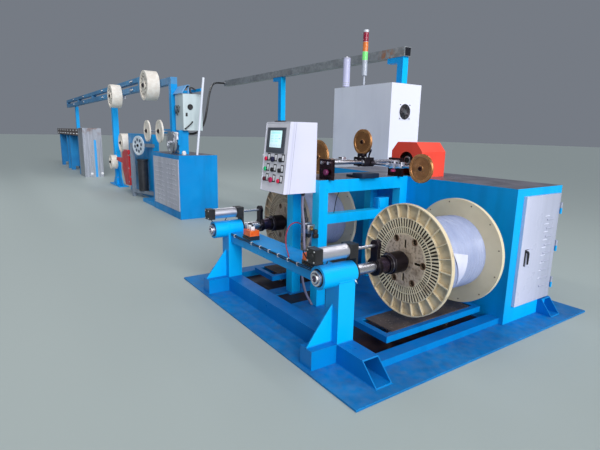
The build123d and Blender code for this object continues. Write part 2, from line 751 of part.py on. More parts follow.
housing = block(housing_far_x, housing_near_x, 0, housing_rear_y, 0, housing_height)
housing = fillet(housing.edges().filter_by(Axis.X).group_by(Axis.Z)[-1].sort_by(Axis.Y)[-1], housing_round)
housing += block(housing_near_x - base_height, haul_far_x, 0, housing_rear_y, 0, base_height)
housing += block(base_far_x, haul_far_x, base_front_y, 0, 0, base_height)

# Spark tester box on the column
tester_x0, tester_x1 = -4330, -4000
tester_y0, tester_y1 = -55, 240
save("tester_box", block(tester_x0, tester_x1, tester_y0, tester_y1, tester_z0, tester_z1))

# Cable conduit, a hose that hangs from the trunking to the lower column, with a gland at each end
conduit_radius = 17.5
gland_radius = 24
gland_length = 20
conduit_route = ((-6200, trunk_front_y - gland_length, 2229.5), (-6185, 1525, 2226), (-6092, 1392, 2212),
                 (-5860, 1220, 2150), (-5480, 1010, 2006), (-5170, 845, 1855), (-4910, 712, 1702),
                 (-4730, 616, 1600), (-4590, 537, 1489), (-4475, 458, 1390), (-4380, 373, 1313),
                 (-4300, 284, 1258), (-4228, 199, 1230), (-4170, 125, 1223),
                 (-4128, column_rear_y + 16, 1229))


def corner_radii(points):
    """Arc at each corner of a route: 0.45 of the shorter run over the tangent of half the turn."""
    radii = []
    for before, corner, after in zip(points, points[1:], points[2:]):
        run_in = Vector(*corner) - Vector(*before)
        run_out = Vector(*after) - Vector(*corner)
        half_turn = math.radians(run_in.get_angle(run_out)) / 2
        radii.append(0.45 * min(run_in.length, run_out.length) / math.tan(half_turn))
    return radii


def gland(mouth, inward):
    """Short collar in line with the hose, from its mouth into the piece behind it."""
    base = (Align.CENTER, Align.CENTER, Align.MIN)
    axis = Vector(*inward) - Vector(*mouth)
    return Plane(origin=mouth, z_dir=axis) * Cylinder(gland_radius, gland_length * 1.5, align=base)


def beyond(mouth, neighbour):
    """Point on the far side of a mouth from the hose."""
    return tuple(2 * m - n for m, n in zip(mouth, neighbour))


bend_radii = corner_radii(conduit_route)
print("conduit bend radii:", [round(radius) for radius in bend_radii])
conduit_path = FilletPolyline(*conduit_route, radius=bend_radii)
first_run = Vector(*conduit_route[1]) - Vector(*conduit_route[0])
conduit = sweep(Plane(origin=conduit_route[0], z_dir=first_run) * Circle(conduit_radius), path=conduit_path)
print("conduit volume over section times length:",
      round(conduit.volume / (math.pi * conduit_radius**2 * conduit_path.length), 4))
save("conduit", conduit)
trunk_gland = gland(conduit_route[0], beyond(conduit_route[0], conduit_route[1]))
haul += gland(conduit_route[-1], beyond(conduit_route[-1], conduit_route[-2]))
save("trunking", trunk + trunk_gland)
save("hauloff_frame", haul, housing, leaning_tube(tube_radius))

# Haul-off wheels
haul_wheel_radius = 175
haul_wheel_width = 25
haul_wheel_y = -237.5
haul_wheel_z = (wheel_beam_z0 + wheel_beam_z1) / 2
left_wheel_x, right_wheel_x = -5230, -4570
haul_shaft = 12
capstan_width = 50
capstan_y = -225
shaft_overhang = 8

save("hauloff_wheel_left", grooved_wheel(left_wheel_x, haul_wheel_z, haul_wheel_y, haul_wheel_radius,
                                         haul_wheel_width, haul_shaft))
save("hauloff_wheel_right", grooved_wheel(right_wheel_x, haul_wheel_z, haul_wheel_y, haul_wheel_radius,
                                          haul_wheel_width, haul_shaft))
save("capstan_wheel", grooved_wheel(capstan_x, capstan_z, capstan_y, capstan_radius, capstan_width,
                                    haul_shaft))
axles = []
for x in (left_wheel_x, right_wheel_x):
    axles.append(rod_y(x, haul_wheel_z, haul_shaft, haul_wheel_y - haul_wheel_width / 2 - shaft_overhang,
                       wheel_beam_front_y))
axles.append(rod_y(capstan_x, capstan_z, haul_shaft, capstan_y - capstan_width / 2 - shaft_overhang,
                   capstan_bracket_y))

# Dancer frame, swung out at an angle: a post and two bars that end on the flat housing
dancer_x, dancer_y = -6430, -200
dancer_angle = 17
dancer_tube = 60
dancer_bottom_z, dancer_top_z = 80, 1020
dancer_reach = 800
dancer_wheel_offset = 318
dancer_wheel_z = 983
dancer_wheel_radius = 178
dancer_wheel_width = 24
dancer_shaft = 10
dancer_wheel_y = -60
drum_offset = 332
half_tube = dancer_tube / 2
turn = Pos(dancer_x, dancer_y, 0) * Rot(0, 0, dancer_angle)

dancer = block(-half_tube, half_tube, -half_tube, half_tube, 0, dancer_top_z)
for z in (dancer_bottom_z, dancer_top_z - dancer_tube):
    dancer += block(-half_tube, dancer_reach, -half_tube, half_tube, z, z + dancer_tube)
dancer += rod_y(dancer_wheel_offset, dancer_wheel_z, dancer_shaft, dancer_wheel_y - dancer_wheel_width,
                -half_tube)
dancer = turn * dancer
dancer -= block(housing_far_x, housing_near_x + dancer_reach, 0, dancer_reach, -1, dancer_top_z + 1)

# Belt guard hung on the dancer post: a leaning case with an arm towards the rollers
case_y0, case_y1 = -230, -170
case_link_z = (340, 760)
case_link_height = 40
case = prism_y(((-6595, 190), (-6640, 830), (-6700, 874), (-6950, 874), (-7120, 800), (-7167, 488),
                (-6950, 180)), case_y0, case_y1)
case += prism_y(((-7000, 690), (-7641, 687), (-7658, 622), (-7000, 590)), case_y0, case_y1)
save("belt_guard", case)
for z in case_link_z:
    link = block(-6640 - 60, dancer_x, dancer_y - half_tube / 2, dancer_y + half_tube / 2, z,
                 z + case_link_height)
    dancer += link - case
save("dancer_frame", dancer)
save("dancer_wheel", turn * grooved_wheel(dancer_wheel_offset, dancer_wheel_z, dancer_wheel_y,
                                          dancer_wheel_radius, dancer_wheel_width, dancer_shaft))

# Black upright drum with a wider top flange, standing on the bottom bar
drum_case_radius, drum_case_flange = 88, 100
drum_case_top_z = 730
drum_flange_height = 32
drum_case_z = dancer_bottom_z + dancer_tube
drum_case = rod_z(drum_offset, 0, drum_case_radius, drum_case_z, drum_case_top_z)
drum_case += rod_z(drum_offset, 0, drum_case_flange, drum_case_top_z - drum_flange_height, drum_case_top_z)
save("dancer_drum", turn * drum_case)

# Accumulator frame: two stacked rails on a footed post and a far post, and roller brackets
upper_rail_z0, upper_rail_z1 = 2120, 2200
upper_rail_near_x = -6000
spacer_length = 160
spacer_count = 5
post_a_x0, post_a_x1 = -8440, -8320
post_a_y0, post_a_y1 = -110, 10
foot_half = 470
foot_thickness = 20
foot_y0, foot_y1 = -150, 50
post_b_x0, post_b_x1 = -14500, -14400
post_b_y0, post_b_y1 = trough_rear_y, trough_rear_y + 100
upper_roller_x, upper_roller_z = -7776, 981
upper_roller_y0, upper_roller_y1 = -100, 60
upper_roller_radius = 200
upper_bracket_y0, upper_bracket_y1 = 70, 110
lower_roller_x, lower_roller_z = -7950, 566
lower_roller_y0, lower_roller_y1 = -290, -170
lower_roller_radius = 150
lower_bracket_y = post_a_y0 - 40
bracket_rise = 30
roller_shaft = 12

frame = block(rail_far_x, rail_near_x, rail_front_y, rail_rear_y, rail_bottom_z, rail_top_z)
frame += block(rail_far_x, upper_rail_near_x, rail_front_y, rail_rear_y, upper_rail_z0, upper_rail_z1)
for index in range(spacer_count):
    x1 = upper_rail_near_x - index * (upper_rail_near_x - rail_far_x - spacer_length) / (spacer_count - 1)
    frame += block(x1 - spacer_length, x1, rail_front_y, rail_rear_y, rail_top_z, upper_rail_z0)
frame += block(post_a_x0, post_a_x1, post_a_y0, post_a_y1, 0, rail_bottom_z)
post_a_x = (post_a_x0 + post_a_x1) / 2
post_a_y = (post_a_y0 + post_a_y1) / 2
foot_top_z = 470
frame += block(post_a_x - foot_half, post_a_x + foot_half, foot_y0, foot_y1, 0, foot_thickness)
frame += prism_y(((post_a_x - foot_half, foot_thickness), (post_a_x + foot_half, foot_thickness),
                  (post_a_x1, foot_top_z), (post_a_x0, foot_top_z)),
                 post_a_y - foot_thickness / 2, post_a_y + foot_thickness / 2)
frame += block(post_b_x0, post_b_x1, post_b_y0, post_b_y1, 0, rail_top_z)
frame += block(post_b_x0, post_b_x1, rail_rear_y, post_b_y0, rail_bottom_z, rail_top_z)
frame += block(post_a_x0, post_a_x1, post_a_y1, upper_bracket_y1, upper_roller_z - bracket_rise,
               upper_roller_z + bracket_rise)
frame += block(post_a_x0, upper_roller_x + bracket_rise, upper_bracket_y0, upper_bracket_y1,
               upper_roller_z - bracket_rise, upper_roller_z + bracket_rise)
frame += rod_y(upper_roller_x, upper_roller_z, roller_shaft, upper_roller_y0 - shaft_overhang,
               upper_bracket_y0)
frame += block(post_a_x0, lower_roller_x + bracket_rise, lower_bracket_y, post_a_y0,
               lower_roller_z - bracket_rise, lower_roller_z + bracket_rise)
frame += rod_y(lower_roller_x, lower_roller_z, roller_shaft, lower_roller_y0 - shaft_overhang,
               lower_bracket_y)
save("accumulator_frame", frame)


def roller(x, z, radius, y0, y1, shaft):
    """Wide roller on a Y shaft, its two ends recessed around the boss."""
    bore = shaft + bearing_clearance
    boss = 0.28 * radius
    rim = 0.84 * radius
    recess = 0.08 * (y1 - y0)
    width = y1 - y0
    points = [(bore, 0), (boss, 0), (boss, recess), (rim, recess), (rim, 0), (radius, 0), (radius, width),
              (rim, width), (rim, width - recess), (boss, width - recess), (boss, width), (bore, width)]
    return turned(points, x, z, y0)


save("guide_roller_upper", roller(upper_roller_x, upper_roller_z, upper_roller_radius, upper_roller_y0,
                                  upper_roller_y1, roller_shaft))
save("guide_roller_lower", roller(lower_roller_x, lower_roller_z, lower_roller_radius, lower_roller_y0,
                                  lower_roller_y1, roller_shaft))

# Storage drums in front of the rail, and their shafts
drum_radius = 232
drum_front_y, drum_rear_y = -305, -110
near_drum_x, near_drum_z = -5090, 1972
far_drum_x, far_drum_z = -7553, 1934
drum_shaft = 16
shaft_block_half = 40

save("storage_drum_near", roller(near_drum_x, near_drum_z, drum_radius, drum_front_y, drum_rear_y,
                                 drum_shaft))
save("storage_drum_far", roller(far_drum_x, far_drum_z, drum_radius, drum_front_y, drum_rear_y, drum_shaft))
axles.append(rod_y(near_drum_x, near_drum_z, drum_shaft, drum_front_y - shaft_overhang, rail_front_y))
axles.append(rod_y(far_drum_x, far_drum_z, drum_shaft, drum_front_y - shaft_overhang, rail_front_y)
             + block(far_drum_x - shaft_block_half, far_drum_x + shaft_block_half, rail_front_y, rail_rear_y,
                     far_drum_z - shaft_block_half, rail_bottom_z))
save("wheel_axles", *axles)

# Cooling trough: stainless head box, open channel bays and cross panels for legs
channel_bottom_z, channel_top_z = 1070, 1250
channel_wall = 5
leg_inset_x = 300
leg_half = 40
leg_inset_y = 30
toe_half, toe_height = 90, 110
head_far_x = trough_near_x - head_length

save("trough_head", block(head_far_x, trough_near_x, trough_front_y, trough_rear_y, 0, head_height))
bays = None
legs = []
for index in range(bay_count):
    x1 = head_far_x - index * bay_length
    x0 = x1 - bay_length
    bay = block(x0, x1, trough_front_y, trough_rear_y, channel_bottom_z, channel_top_z)
    bay -= block(x0 + channel_wall, x1 - channel_wall, trough_front_y + channel_wall,
                 trough_rear_y - channel_wall, channel_bottom_z + channel_wall, channel_top_z + 1)
    bays = bay if bays is None else bays + bay
    for x in (x1 - leg_inset_x, x0 + leg_inset_x):
        leg = block(x - leg_half, x + leg_half, trough_front_y + leg_inset_y, trough_rear_y - leg_inset_y,
                    0, channel_bottom_z)
        middle = (trough_front_y + trough_rear_y) / 2
        leg -= block(x - leg_half - 1, x + leg_half + 1, middle - toe_half, middle + toe_half, -1, toe_height)
        legs.append(leg)
save("trough_bays", bays)
save("trough_legs", *legs)
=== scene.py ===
import math

import bmesh
import bpy
import numpy as np
from mathutils import Matrix, Vector


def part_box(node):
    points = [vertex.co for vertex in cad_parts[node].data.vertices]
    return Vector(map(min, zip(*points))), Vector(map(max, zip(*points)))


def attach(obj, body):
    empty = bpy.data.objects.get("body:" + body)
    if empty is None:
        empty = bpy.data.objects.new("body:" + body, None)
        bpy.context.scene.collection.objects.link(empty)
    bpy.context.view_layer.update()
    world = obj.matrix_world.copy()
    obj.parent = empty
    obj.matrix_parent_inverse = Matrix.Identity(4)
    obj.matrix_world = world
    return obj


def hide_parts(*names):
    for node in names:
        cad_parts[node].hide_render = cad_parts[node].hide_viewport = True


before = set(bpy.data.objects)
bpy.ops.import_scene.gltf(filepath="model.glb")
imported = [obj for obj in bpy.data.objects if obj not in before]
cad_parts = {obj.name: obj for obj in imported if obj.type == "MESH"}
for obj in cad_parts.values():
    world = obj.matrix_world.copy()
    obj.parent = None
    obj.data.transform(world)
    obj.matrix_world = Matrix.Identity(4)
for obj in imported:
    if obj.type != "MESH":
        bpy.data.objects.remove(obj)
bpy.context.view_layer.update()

# Camera: eye height beside the take-up's near front corner, looking up the line.
# The lens and the slight roll are those of the photograph.
photo_standpoint = (2.521, -2.432, 1.283)
yaw, pitch, roll = (math.radians(v) for v in (55.4415, 11.7474, -1.15324))
forward = Vector((-math.sin(yaw) * math.cos(pitch), math.cos(yaw) * math.cos(pitch), -math.sin(pitch)))
level_right = Vector((math.cos(yaw), math.sin(yaw), 0))
level_down = forward.cross(level_right)
right = math.cos(roll) * level_right + math.sin(roll) * level_down
down = -math.sin(roll) * level_right + math.cos(roll) * level_down
lens = bpy.data.cameras.new("photo_lens")
lens.lens, lens.sensor_width = 26.766, 36
lens.clip_start, lens.clip_end = 0.05, 200
camera = bpy.data.objects.new("photo_camera", lens)
turn = Matrix((right, -down, -forward)).transposed().to_4x4()
camera.matrix_world = Matrix.Translation(photo_standpoint) @ turn
bpy.context.collection.objects.link(camera)
bpy.context.scene.camera = camera

# Light: cool daylight from all round, a soft low sun on the downstream ends, and two rows
# of long overhead lamps, which the bright metal mirrors.
world = bpy.data.worlds.new("cool_daylight")
world.use_nodes = True
sky = world.node_tree.nodes["Background"]
sky.inputs["Color"].default_value = (0.78, 0.86, 1.0, 1)
sky.inputs["Strength"].default_value = 0.23
bpy.context.scene.world = world
bpy.context.scene.view_settings.view_transform = "Standard"
sun_lamp = bpy.data.lights.new("window_side", "SUN")
sun_lamp.energy, sun_lamp.angle = 2.9, math.radians(40)
sun_lamp.color = (0.97, 0.98, 1.0)
sun = bpy.data.objects.new("window_side", sun_lamp)
sun.matrix_world = Vector((0.90, -0.15, 0.40)).to_track_quat("Z", "Y").to_matrix().to_4x4()
bpy.context.collection.objects.link(sun)
lamp_row = bpy.data.lights.new("lamp_row", "AREA")
lamp_row.shape, lamp_row.size, lamp_row.size_y, lamp_row.energy = "RECTANGLE", 0.5, 6, 58
along_line = Matrix.Rotation(math.pi / 2, 4, "Z")
for place_x, place_y in ((1.5, -2.6), (-7.0, -2.6), (1.5, 2.4), (-7.0, 2.4)):
    tube_lamp = bpy.data.objects.new("overhead_lamps", lamp_row)
    tube_lamp.matrix_world = Matrix.Translation((place_x, place_y, 4.6)) @ along_line
    bpy.context.collection.objects.link(tube_lamp)

# Studio floor: one plain pale sheet under the whole line, a hair below the machine's feet and
# wide enough to fill the picture.
floor_mesh = bpy.data.meshes.new("studio_floor")
floor_corners = [(-90, -70, -0.0005), (70, -70, -0.0005), (70, 70, -0.0005), (-90, 70, -0.0005)]
floor_mesh.from_pydata(floor_corners, [], [(0, 1, 2, 3)])
floor = bpy.data.objects.new("studio_floor", floor_mesh)
bpy.context.collection.objects.link(floor)
floor_finish = bpy.data.materials.new("pale_floor")
floor_finish.use_nodes = True
floor_finish.node_tree.nodes["Principled BSDF"].inputs["Base Color"].default_value = (0.44, 0.50, 0.48, 1)
floor_finish.node_tree.nodes["Principled BSDF"].inputs["Roughness"].default_value = 0.55
floor_mesh.materials.append(floor_finish)

# Floor plate of the take-up: one 12 mm steel sheet with cut pits, brushed with bright blue enamel.
# The paint is trodden dull on top, chipped along its edges, and the pit floors are near black to dark brown.


def wire(tree, kind, inputs, **settings):
    """Adds one shader node; each input takes a value or another node's output."""
    made = tree.nodes.new("ShaderNode" + kind)
    for key, value in settings.items():
        setattr(made, key, value)
    for key, value in inputs.items():
        if isinstance(value, bpy.types.NodeSocket):
            tree.links.new(value, made.inputs[key])
        else:
            made.inputs[key].default_value = value
    return made


def whereabouts(tree, stretch=(1, 1, 1), shift=(0, 0, 0)):
    """The piece's own coordinates in metres, moved by shift and then stretched."""
    spot = wire(tree, "TexCoord", {}).outputs["Object"]
    moved = wire(tree, "VectorMath", {0: spot, 1: shift}, operation="ADD").outputs[0]
    return wire(tree, "VectorMath", {0: moved, 1: stretch}, operation="MULTIPLY").outputs[0]


def mottle(tree, scale, detail=3, stretch=(1, 1, 1)):
    """Cloudy noise from 0 to 1; scale is its spots per metre."""
    inputs = {"Vector": whereabouts(tree, stretch), "Scale": scale, "Detail": detail}
    return wire(tree, "TexNoise", inputs).outputs[0]


def rise(tree, value, start, end, low=0.0, high=1.0):
    """low up to start, high from end, and a straight run between them."""
    inputs = {"Value": value, "From Min": start, "From Max": end, "To Min": low, "To Max": high}
    return wire(tree, "MapRange", inputs).outputs[0]


def reckon(tree, operation, a, b):
    """One arithmetic step on two values."""
    return wire(tree, "Math", {0: a, 1: b}, operation=operation).outputs[0]


def times(tree, a, b):
    """Product of two values."""
    return reckon(tree, "MULTIPLY", a, b)


def is_over(tree, value, limit):
    """1 where the value is over the limit, 0 elsewhere."""
    return reckon(tree, "GREATER_THAN", value, limit)


def is_under(tree, value, limit):
    """1 where the value is under the limit, 0 elsewhere."""
    return reckon(tree, "LESS_THAN", value, limit)


def off_from(tree, value, place):
    """How far the value is from a place, either way."""
    return reckon(tree, "ABSOLUTE", reckon(tree, "SUBTRACT", value, place), 0.0)


def tint(tree, amount, under, over):
    """Colour under where amount is 0, colour over where it is 1."""
    return wire(tree, "Mix", {0: amount, 6: under, 7: over}, data_type="RGBA").outputs[2]


def height(tree, axis="Z"):
    """The piece's own X, Y or Z in metres."""
    return wire(tree, "SeparateXYZ", {0: whereabouts(tree)}).outputs[axis]


def facing(tree, axis="Z"):
    """How much a face looks along an axis, from -1 to 1."""
    normal = wire(tree, "NewGeometry", {}).outputs["Normal"]
    return wire(tree, "SeparateXYZ", {0: normal}).outputs[axis]


def rubbed_edges(tree, width):
    """(1 along outer edges and 0 on flats, the surface direction with those edges eased)."""
    eased = wire(tree, "Bevel", {"Radius": width}, samples=5).outputs[0]
    flat = wire(tree, "NewGeometry", {}).outputs["Normal"]
    along = wire(tree, "VectorMath", {0: eased, 1: flat}, operation="DOT_PRODUCT").outputs["Value"]
    return rise(tree, reckon(tree, "SUBTRACT", 1.0, along), 0.01, 0.12), eased


def finish_of(name, rough=0.4, metal=0.0, coat=0.0, shine=0.35):
    """A new finish with its node tree and its shader."""
    material = bpy.data.materials.new(name)
    material.use_nodes = True
    tree = material.node_tree
    shader = tree.nodes["Principled BSDF"]
    shader.inputs["Roughness"].default_value = rough
    shader.inputs["Metallic"].default_value = metal
    shader.inputs["Coat Weight"].default_value = coat
    shader.inputs["Specular IOR Level"].default_value = shine
    return material, tree, shader


def emboss(tree, shader, strength, distance, pattern, eased=None):
    """Gives a finish a relief, distance deep where the pattern is 1, over edges that may be eased."""
    inputs = {"Strength": strength, "Distance": distance, "Height": pattern}
    if eased is not None:
        inputs["Normal"] = eased
    tree.links.new(wire(tree, "Bump", inputs).outputs[0], shader.inputs["Normal"])


def painted(name, bright, deep, chipped, rough=0.34, grime=0.25, edge=0.0025, patch=None, lit_side_tone=None):
    """Brushed or sprayed paint: two close tones in clouds, runs of dirt, dust on what faces up, orange peel,
    and chipped paint along the edges. The tone given for faces that look down the line, at the windows, is
    painted light, and patch may recolour it by place."""
    material, tree, shader = finish_of(name, rough, coat=0.03, shine=0.22)
    clouds = rise(tree, mottle(tree, 1.7, 4), 0.35, 0.68)
    colour = tint(tree, clouds, bright, deep)
    # Painted light: faces that look down the line, towards the windows and the sun, take the brighter tone.
    if lit_side_tone:
        colour = tint(tree, rise(tree, facing(tree, "X"), 0.3, 0.9), colour, lit_side_tone)
    streaks = rise(tree, mottle(tree, 9, 4, (1, 1, 0.12)), 0.50, 0.78, 0, grime)
    dirt = tuple(0.30 * v for v in deep[:3]) + (1,)
    colour = tint(tree, streaks, colour, dirt)
    dusty = rise(tree, facing(tree), 0.7, 1.0, 0, 0.5 * grime)
    dusty = times(tree, dusty, rise(tree, mottle(tree, 23, 5), 0.35, 0.7))
    colour = tint(tree, dusty, colour, (0.24, 0.25, 0.26, 1))
    edges, eased = rubbed_edges(tree, edge)
    breaks = times(tree, edges, rise(tree, mottle(tree, 70, 3), 0.36, 0.62, 0.15, 0.85))
    colour = tint(tree, breaks, colour, chipped)
    if patch:
        colour = patch(tree, colour)
    tree.links.new(colour, shader.inputs["Base Color"])
    dull = rise(tree, mottle(tree, 6, 5), 0.3, 0.7, rough - 0.08, rough + 0.16)
    tree.links.new(dull, shader.inputs["Roughness"])
    emboss(tree, shader, 0.10, 0.0012, mottle(tree, 210, 2), eased)
    return material


def dress(finish, *names):
    """Gives CAD pieces a finish."""
    for name in names:
        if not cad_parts[name].material_slots:
            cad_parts[name].data.materials.append(finish)
        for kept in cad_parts[name].material_slots:
            kept.material = finish


bright_blue = (0.0, 0.36, 0.84, 1)
deep_blue = (0.0, 0.27, 0.71, 1)
chip_blue = (0.05, 0.52, 0.95, 1)
# Painted light: the brighter blue for faces that look down the line, towards the sun.
lit_side_blue = (0.0, 0.46, 0.95, 1)
plate_blue = (0.0, 0.225, 0.60, 1)
plate_deep_blue = (0.0, 0.165, 0.49, 1)
pit_depth_z = 0.0035


def trodden(tree, colour):
    """Walked-on dirt on top of the plate, and the pit floors near black to dark brown."""
    scuffed = rise(tree, mottle(tree, 5, 6), 0.46, 0.78, 0, 0.4)
    colour = tint(tree, scuffed, colour, (0.004, 0.085, 0.26, 1))
    pit_dark = tint(tree, rise(tree, mottle(tree, 12, 6), 0.35, 0.65), (0.010, 0.008, 0.014, 1),
                (0.042, 0.022, 0.020, 1))
    in_pit = is_under(tree, height(tree), pit_depth_z)
    on_top = is_over(tree, facing(tree), 0.5)
    return tint(tree, times(tree, in_pit, on_top), colour, pit_dark)


dress(painted("plate_blue", plate_blue, plate_deep_blue, chip_blue, 0.42, 0.35, patch=trodden), "base_plate")

# Floor beams and pedestals: sawn square tube welded to the plate, the bored sleeve across each
# post, all in the same enamel. Weld beads run round every foot and under the sleeves.
low_z = 0.126


def shaded_low(tree, colour):
    """Painted shade: deeper blue on the beams and feet near the floor."""
    low = rise(tree, height(tree), low_z, low_z + 0.004, 0.62, 0)
    return tint(tree, low, colour, (0.0, 0.10, 0.42, 1))


frame_blue = painted("frame_blue", bright_blue, deep_blue, chip_blue, patch=shaded_low,
                     lit_side_tone=lit_side_blue)
dress(frame_blue, "frame_beams", "pedestals", "lift_frame_near", "lift_frame_far")


def skin(rows, columns):
    """Quads between the neighbours of a grid of points; its columns run round to the start."""
    i = np.arange(rows - 1)[:, None]
    j = np.arange(columns)[None, :]
    k = (j + 1) % columns
    corners = (i * columns + j, i * columns + k, (i + 1) * columns + k, (i + 1) * columns + j)
    return np.stack(np.broadcast_arrays(*corners), -1).reshape(-1, 4)


def square_to(along):
    """Three unit directions square to each other, the last one along the given way."""
    w = np.array(along, float)
    w /= np.linalg.norm(w)
    u = np.cross(w, np.eye(3)[np.abs(w).argmin()])
    u /= np.linalg.norm(u)
    return u, np.cross(w, u), w


def turned(outline, centre, along=(0, 1, 0), sides=32):
    """Turned piece: an outline of (radius, distance) points carried round a line through centre.
    Point = centre + radius (cos t u + sin t v) + distance w, w being along."""
    radius, distance = np.array(outline, float).T[:, :, None, None]
    u, v, w = square_to(along)
    t = np.linspace(0, 2 * math.pi, sides, endpoint=False)[None, :, None]
    points = np.array(centre, float) + radius * (np.cos(t) * u + np.sin(t) * v) + distance * w
    return points.reshape(-1, 3), skin(len(outline), sides)


def swept(path, radius, sides=10, up=(0, 0, 1)):
    """Round bar along a path, closed at both ends. Point = path + radius (cos t a + sin t b),
    a and b square to the path; radius may change along it."""
    line = np.array(path, float)
    way = np.gradient(line, axis=0)
    way /= np.linalg.norm(way, axis=1)[:, None]
    a = np.cross(way, np.array(up, float))
    a /= np.linalg.norm(a, axis=1)[:, None]
    b = np.cross(way, a)
    radius = np.r_[0, np.broadcast_to(radius, len(line)), 0][:, None, None]
    line, a, b = (np.r_[v[:1], v, v[-1:]][:, None, :] for v in (line, a, b))
    t = np.linspace(0, 2 * math.pi, sides, endpoint=False)[None, :, None]
    points = line + radius * (np.cos(t) * a + np.sin(t) * b)
    return points.reshape(-1, 3), skin(len(line), sides)


def smooth_line(points, per_span=8):
    """Line through points: on each span a cubic whose end slopes point between the neighbours."""
    p = np.array(points, float)
    a = np.vstack((2 * p[:1] - p[1:2], p[:-2]))
    b, c = p[:-1], p[1:]
    d = np.vstack((p[2:], 2 * p[-1:] - p[-2:-1]))
    t = np.linspace(0, 1, per_span, endpoint=False)[None, :, None]
    a, b, c, d = (v[:, None, :] for v in (a, b, c, d))
    span = 0.5 * (2 * b + (c - a) * t + (2 * a - 5 * b + 4 * c - d) * t**2 + (3 * b - a - 3 * c + d) * t**3)
    return np.vstack((span.reshape(-1, 3), p[-1:]))


def rounded_block(low, high, radius=0.002, steps=2, frame_of=None):
    """Block with eased edges: a ball cut in eight, each eighth moved out to a corner.
    frame_of = (origin, u, v, w) sets it on another frame."""
    low, high = np.array(low, float), np.array(high, float)
    half, middle = (high - low) / 2 - radius, (high + low) / 2
    quarter = np.linspace(0, math.pi / 2, steps + 1)
    t = (quarter[None, :] + np.arange(4)[:, None] * math.pi / 2).ravel()[None, :]
    s = np.r_[quarter - math.pi / 2, quarter][:, None]
    side_x, side_y = (np.repeat(v, steps + 1)[None, :] for v in ((1, -1, -1, 1), (1, 1, -1, -1)))
    side_z = np.repeat((-1, 1), steps + 1)[:, None]
    x = radius * np.cos(s) * np.cos(t) + side_x * half[0]
    y = radius * np.cos(s) * np.sin(t) + side_y * half[1]
    z = radius * np.sin(s) + side_z * half[2] + 0 * t
    cap = np.zeros((1, x.shape[1]))
    top = half[2] + radius
    x, y, z = np.vstack((cap, x, cap)), np.vstack((cap, y, cap)), np.vstack((cap - top, z, cap + top))
    points = np.stack((x, y, z), -1).reshape(-1, 3) + middle
    if frame_of:
        origin, u, v, w = (np.array(part, float) for part in frame_of)
        points = origin + points[:, :1] * u + points[:, 1:2] * v + points[:, 2:] * w
    return points, skin(x.shape[0], x.shape[1])


def piece(name, surfaces, finish, body="line_frame", crease=38):
    """One mesh of several surfaces, its doubled seam and pole points merged, riding on a body."""
    counts = np.cumsum([0] + [len(points) for points, quads in surfaces])
    mesh = bpy.data.meshes.new(name)
    quads = np.vstack([q + start for (p, q), start in zip(surfaces, counts)])
    mesh.from_pydata(np.vstack([p for p, q in surfaces]).tolist(), [], quads.tolist())
    work = bmesh.new()
    work.from_mesh(mesh)
    bmesh.ops.remove_doubles(work, verts=work.verts, dist=1e-6)
    bmesh.ops.recalc_face_normals(work, faces=work.faces)
    work.to_mesh(mesh)
    work.free()
    mesh.polygons.foreach_set("use_smooth", np.ones(len(mesh.polygons), bool))
    mesh.set_sharp_from_angle(angle=math.radians(crease))
    mesh.materials.append(finish)
    made = bpy.data.objects.new(name, mesh)
    bpy.context.collection.objects.link(made)
    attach(made, body)
    return made


def weld_bead(start, end, size=0.0045):
    """Weld bead from start to end, a bar that swells and shrinks at every ripple."""
    start, end = np.array(start, float), np.array(end, float)
    steps = max(6, int(np.linalg.norm(end - start) / 0.005))
    share = np.linspace(0, 1, steps)[:, None]
    ripple = size * (0.82 + 0.18 * np.sin(2.4 * np.arange(steps)) + 0.08 * np.sin(0.7 * np.arange(steps)))
    up = (0, 0, 1) if abs(end[2] - start[2]) < 0.7 * np.linalg.norm(end - start) else (1, 0, 0)
    return swept(start + share * (end - start), ripple, 6, up)


def foot_weld(x0, x1, y0, y1, z):
    """Four beads round a rectangular foot."""
    corners = ((x0, y0, z), (x1, y0, z), (x1, y1, z), (x0, y1, z))
    return [weld_bead(a, b) for a, b in zip(corners, corners[1:] + corners[:1])]


plate_top_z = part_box("base_plate")[1].z
station_x = 0.690
post_half = 0.058
post_y0, post_y1 = -0.944, -0.828
beam_top_z, beam_y0, beam_y1, beam_end_x = 0.124, -0.943, -0.829, 1.07
block_half = 0.054
reel_axis_z = 0.516
sleeve_r, sleeve_y0, under_sleeve_z = 0.066, -1.049, 0.487
gusset_y0, gusset_top = -1.116, 0.348
tie_end_x, tie_front_y, tie_rear_y, under_tie_z = 0.632, -0.925, -0.745, 0.415
beads = []
for x in (-station_x, station_x):
    beads += foot_weld(x - post_half, x + post_half, post_y0, post_y1, beam_top_z)
    for side in (-0.004, 0.004):
        beads.append(weld_bead((x + side, gusset_y0, beam_top_z), (x + side, post_y0, beam_top_z)))
        beads.append(weld_bead((x + side, post_y0, beam_top_z), (x + side, post_y0, gusset_top)))
    for side in (-post_half, post_half):
        beads.append(weld_bead((x + side, post_y0, under_sleeve_z), (x + side, post_y1, under_sleeve_z),
                               0.006))
    for y in (gusset_y0, beam_y0):
        beads.append(weld_bead((x - block_half, y, plate_top_z), (x + block_half, y, plate_top_z)))
block_in, block_out = station_x - block_half, station_x + block_half
for x0, x1, y in ((-beam_end_x, -block_out, beam_y0), (-block_in, block_in, beam_y0),
                  (block_out, beam_end_x, beam_y0), (-beam_end_x, beam_end_x, beam_y1)):
    beads.append(weld_bead((x0, y, plate_top_z), (x1, y, plate_top_z)))
for x in (-tie_end_x, tie_end_x):
    beads.append(weld_bead((x, tie_front_y, under_tie_z), (x, tie_rear_y, under_tie_z)))
piece("frame_welds", beads, frame_blue)

# Sleeve fittings: a dark wear ring round the quill at the outer end of each sleeve, and a hex
# set screw at its inner end that keeps the quill from turning.


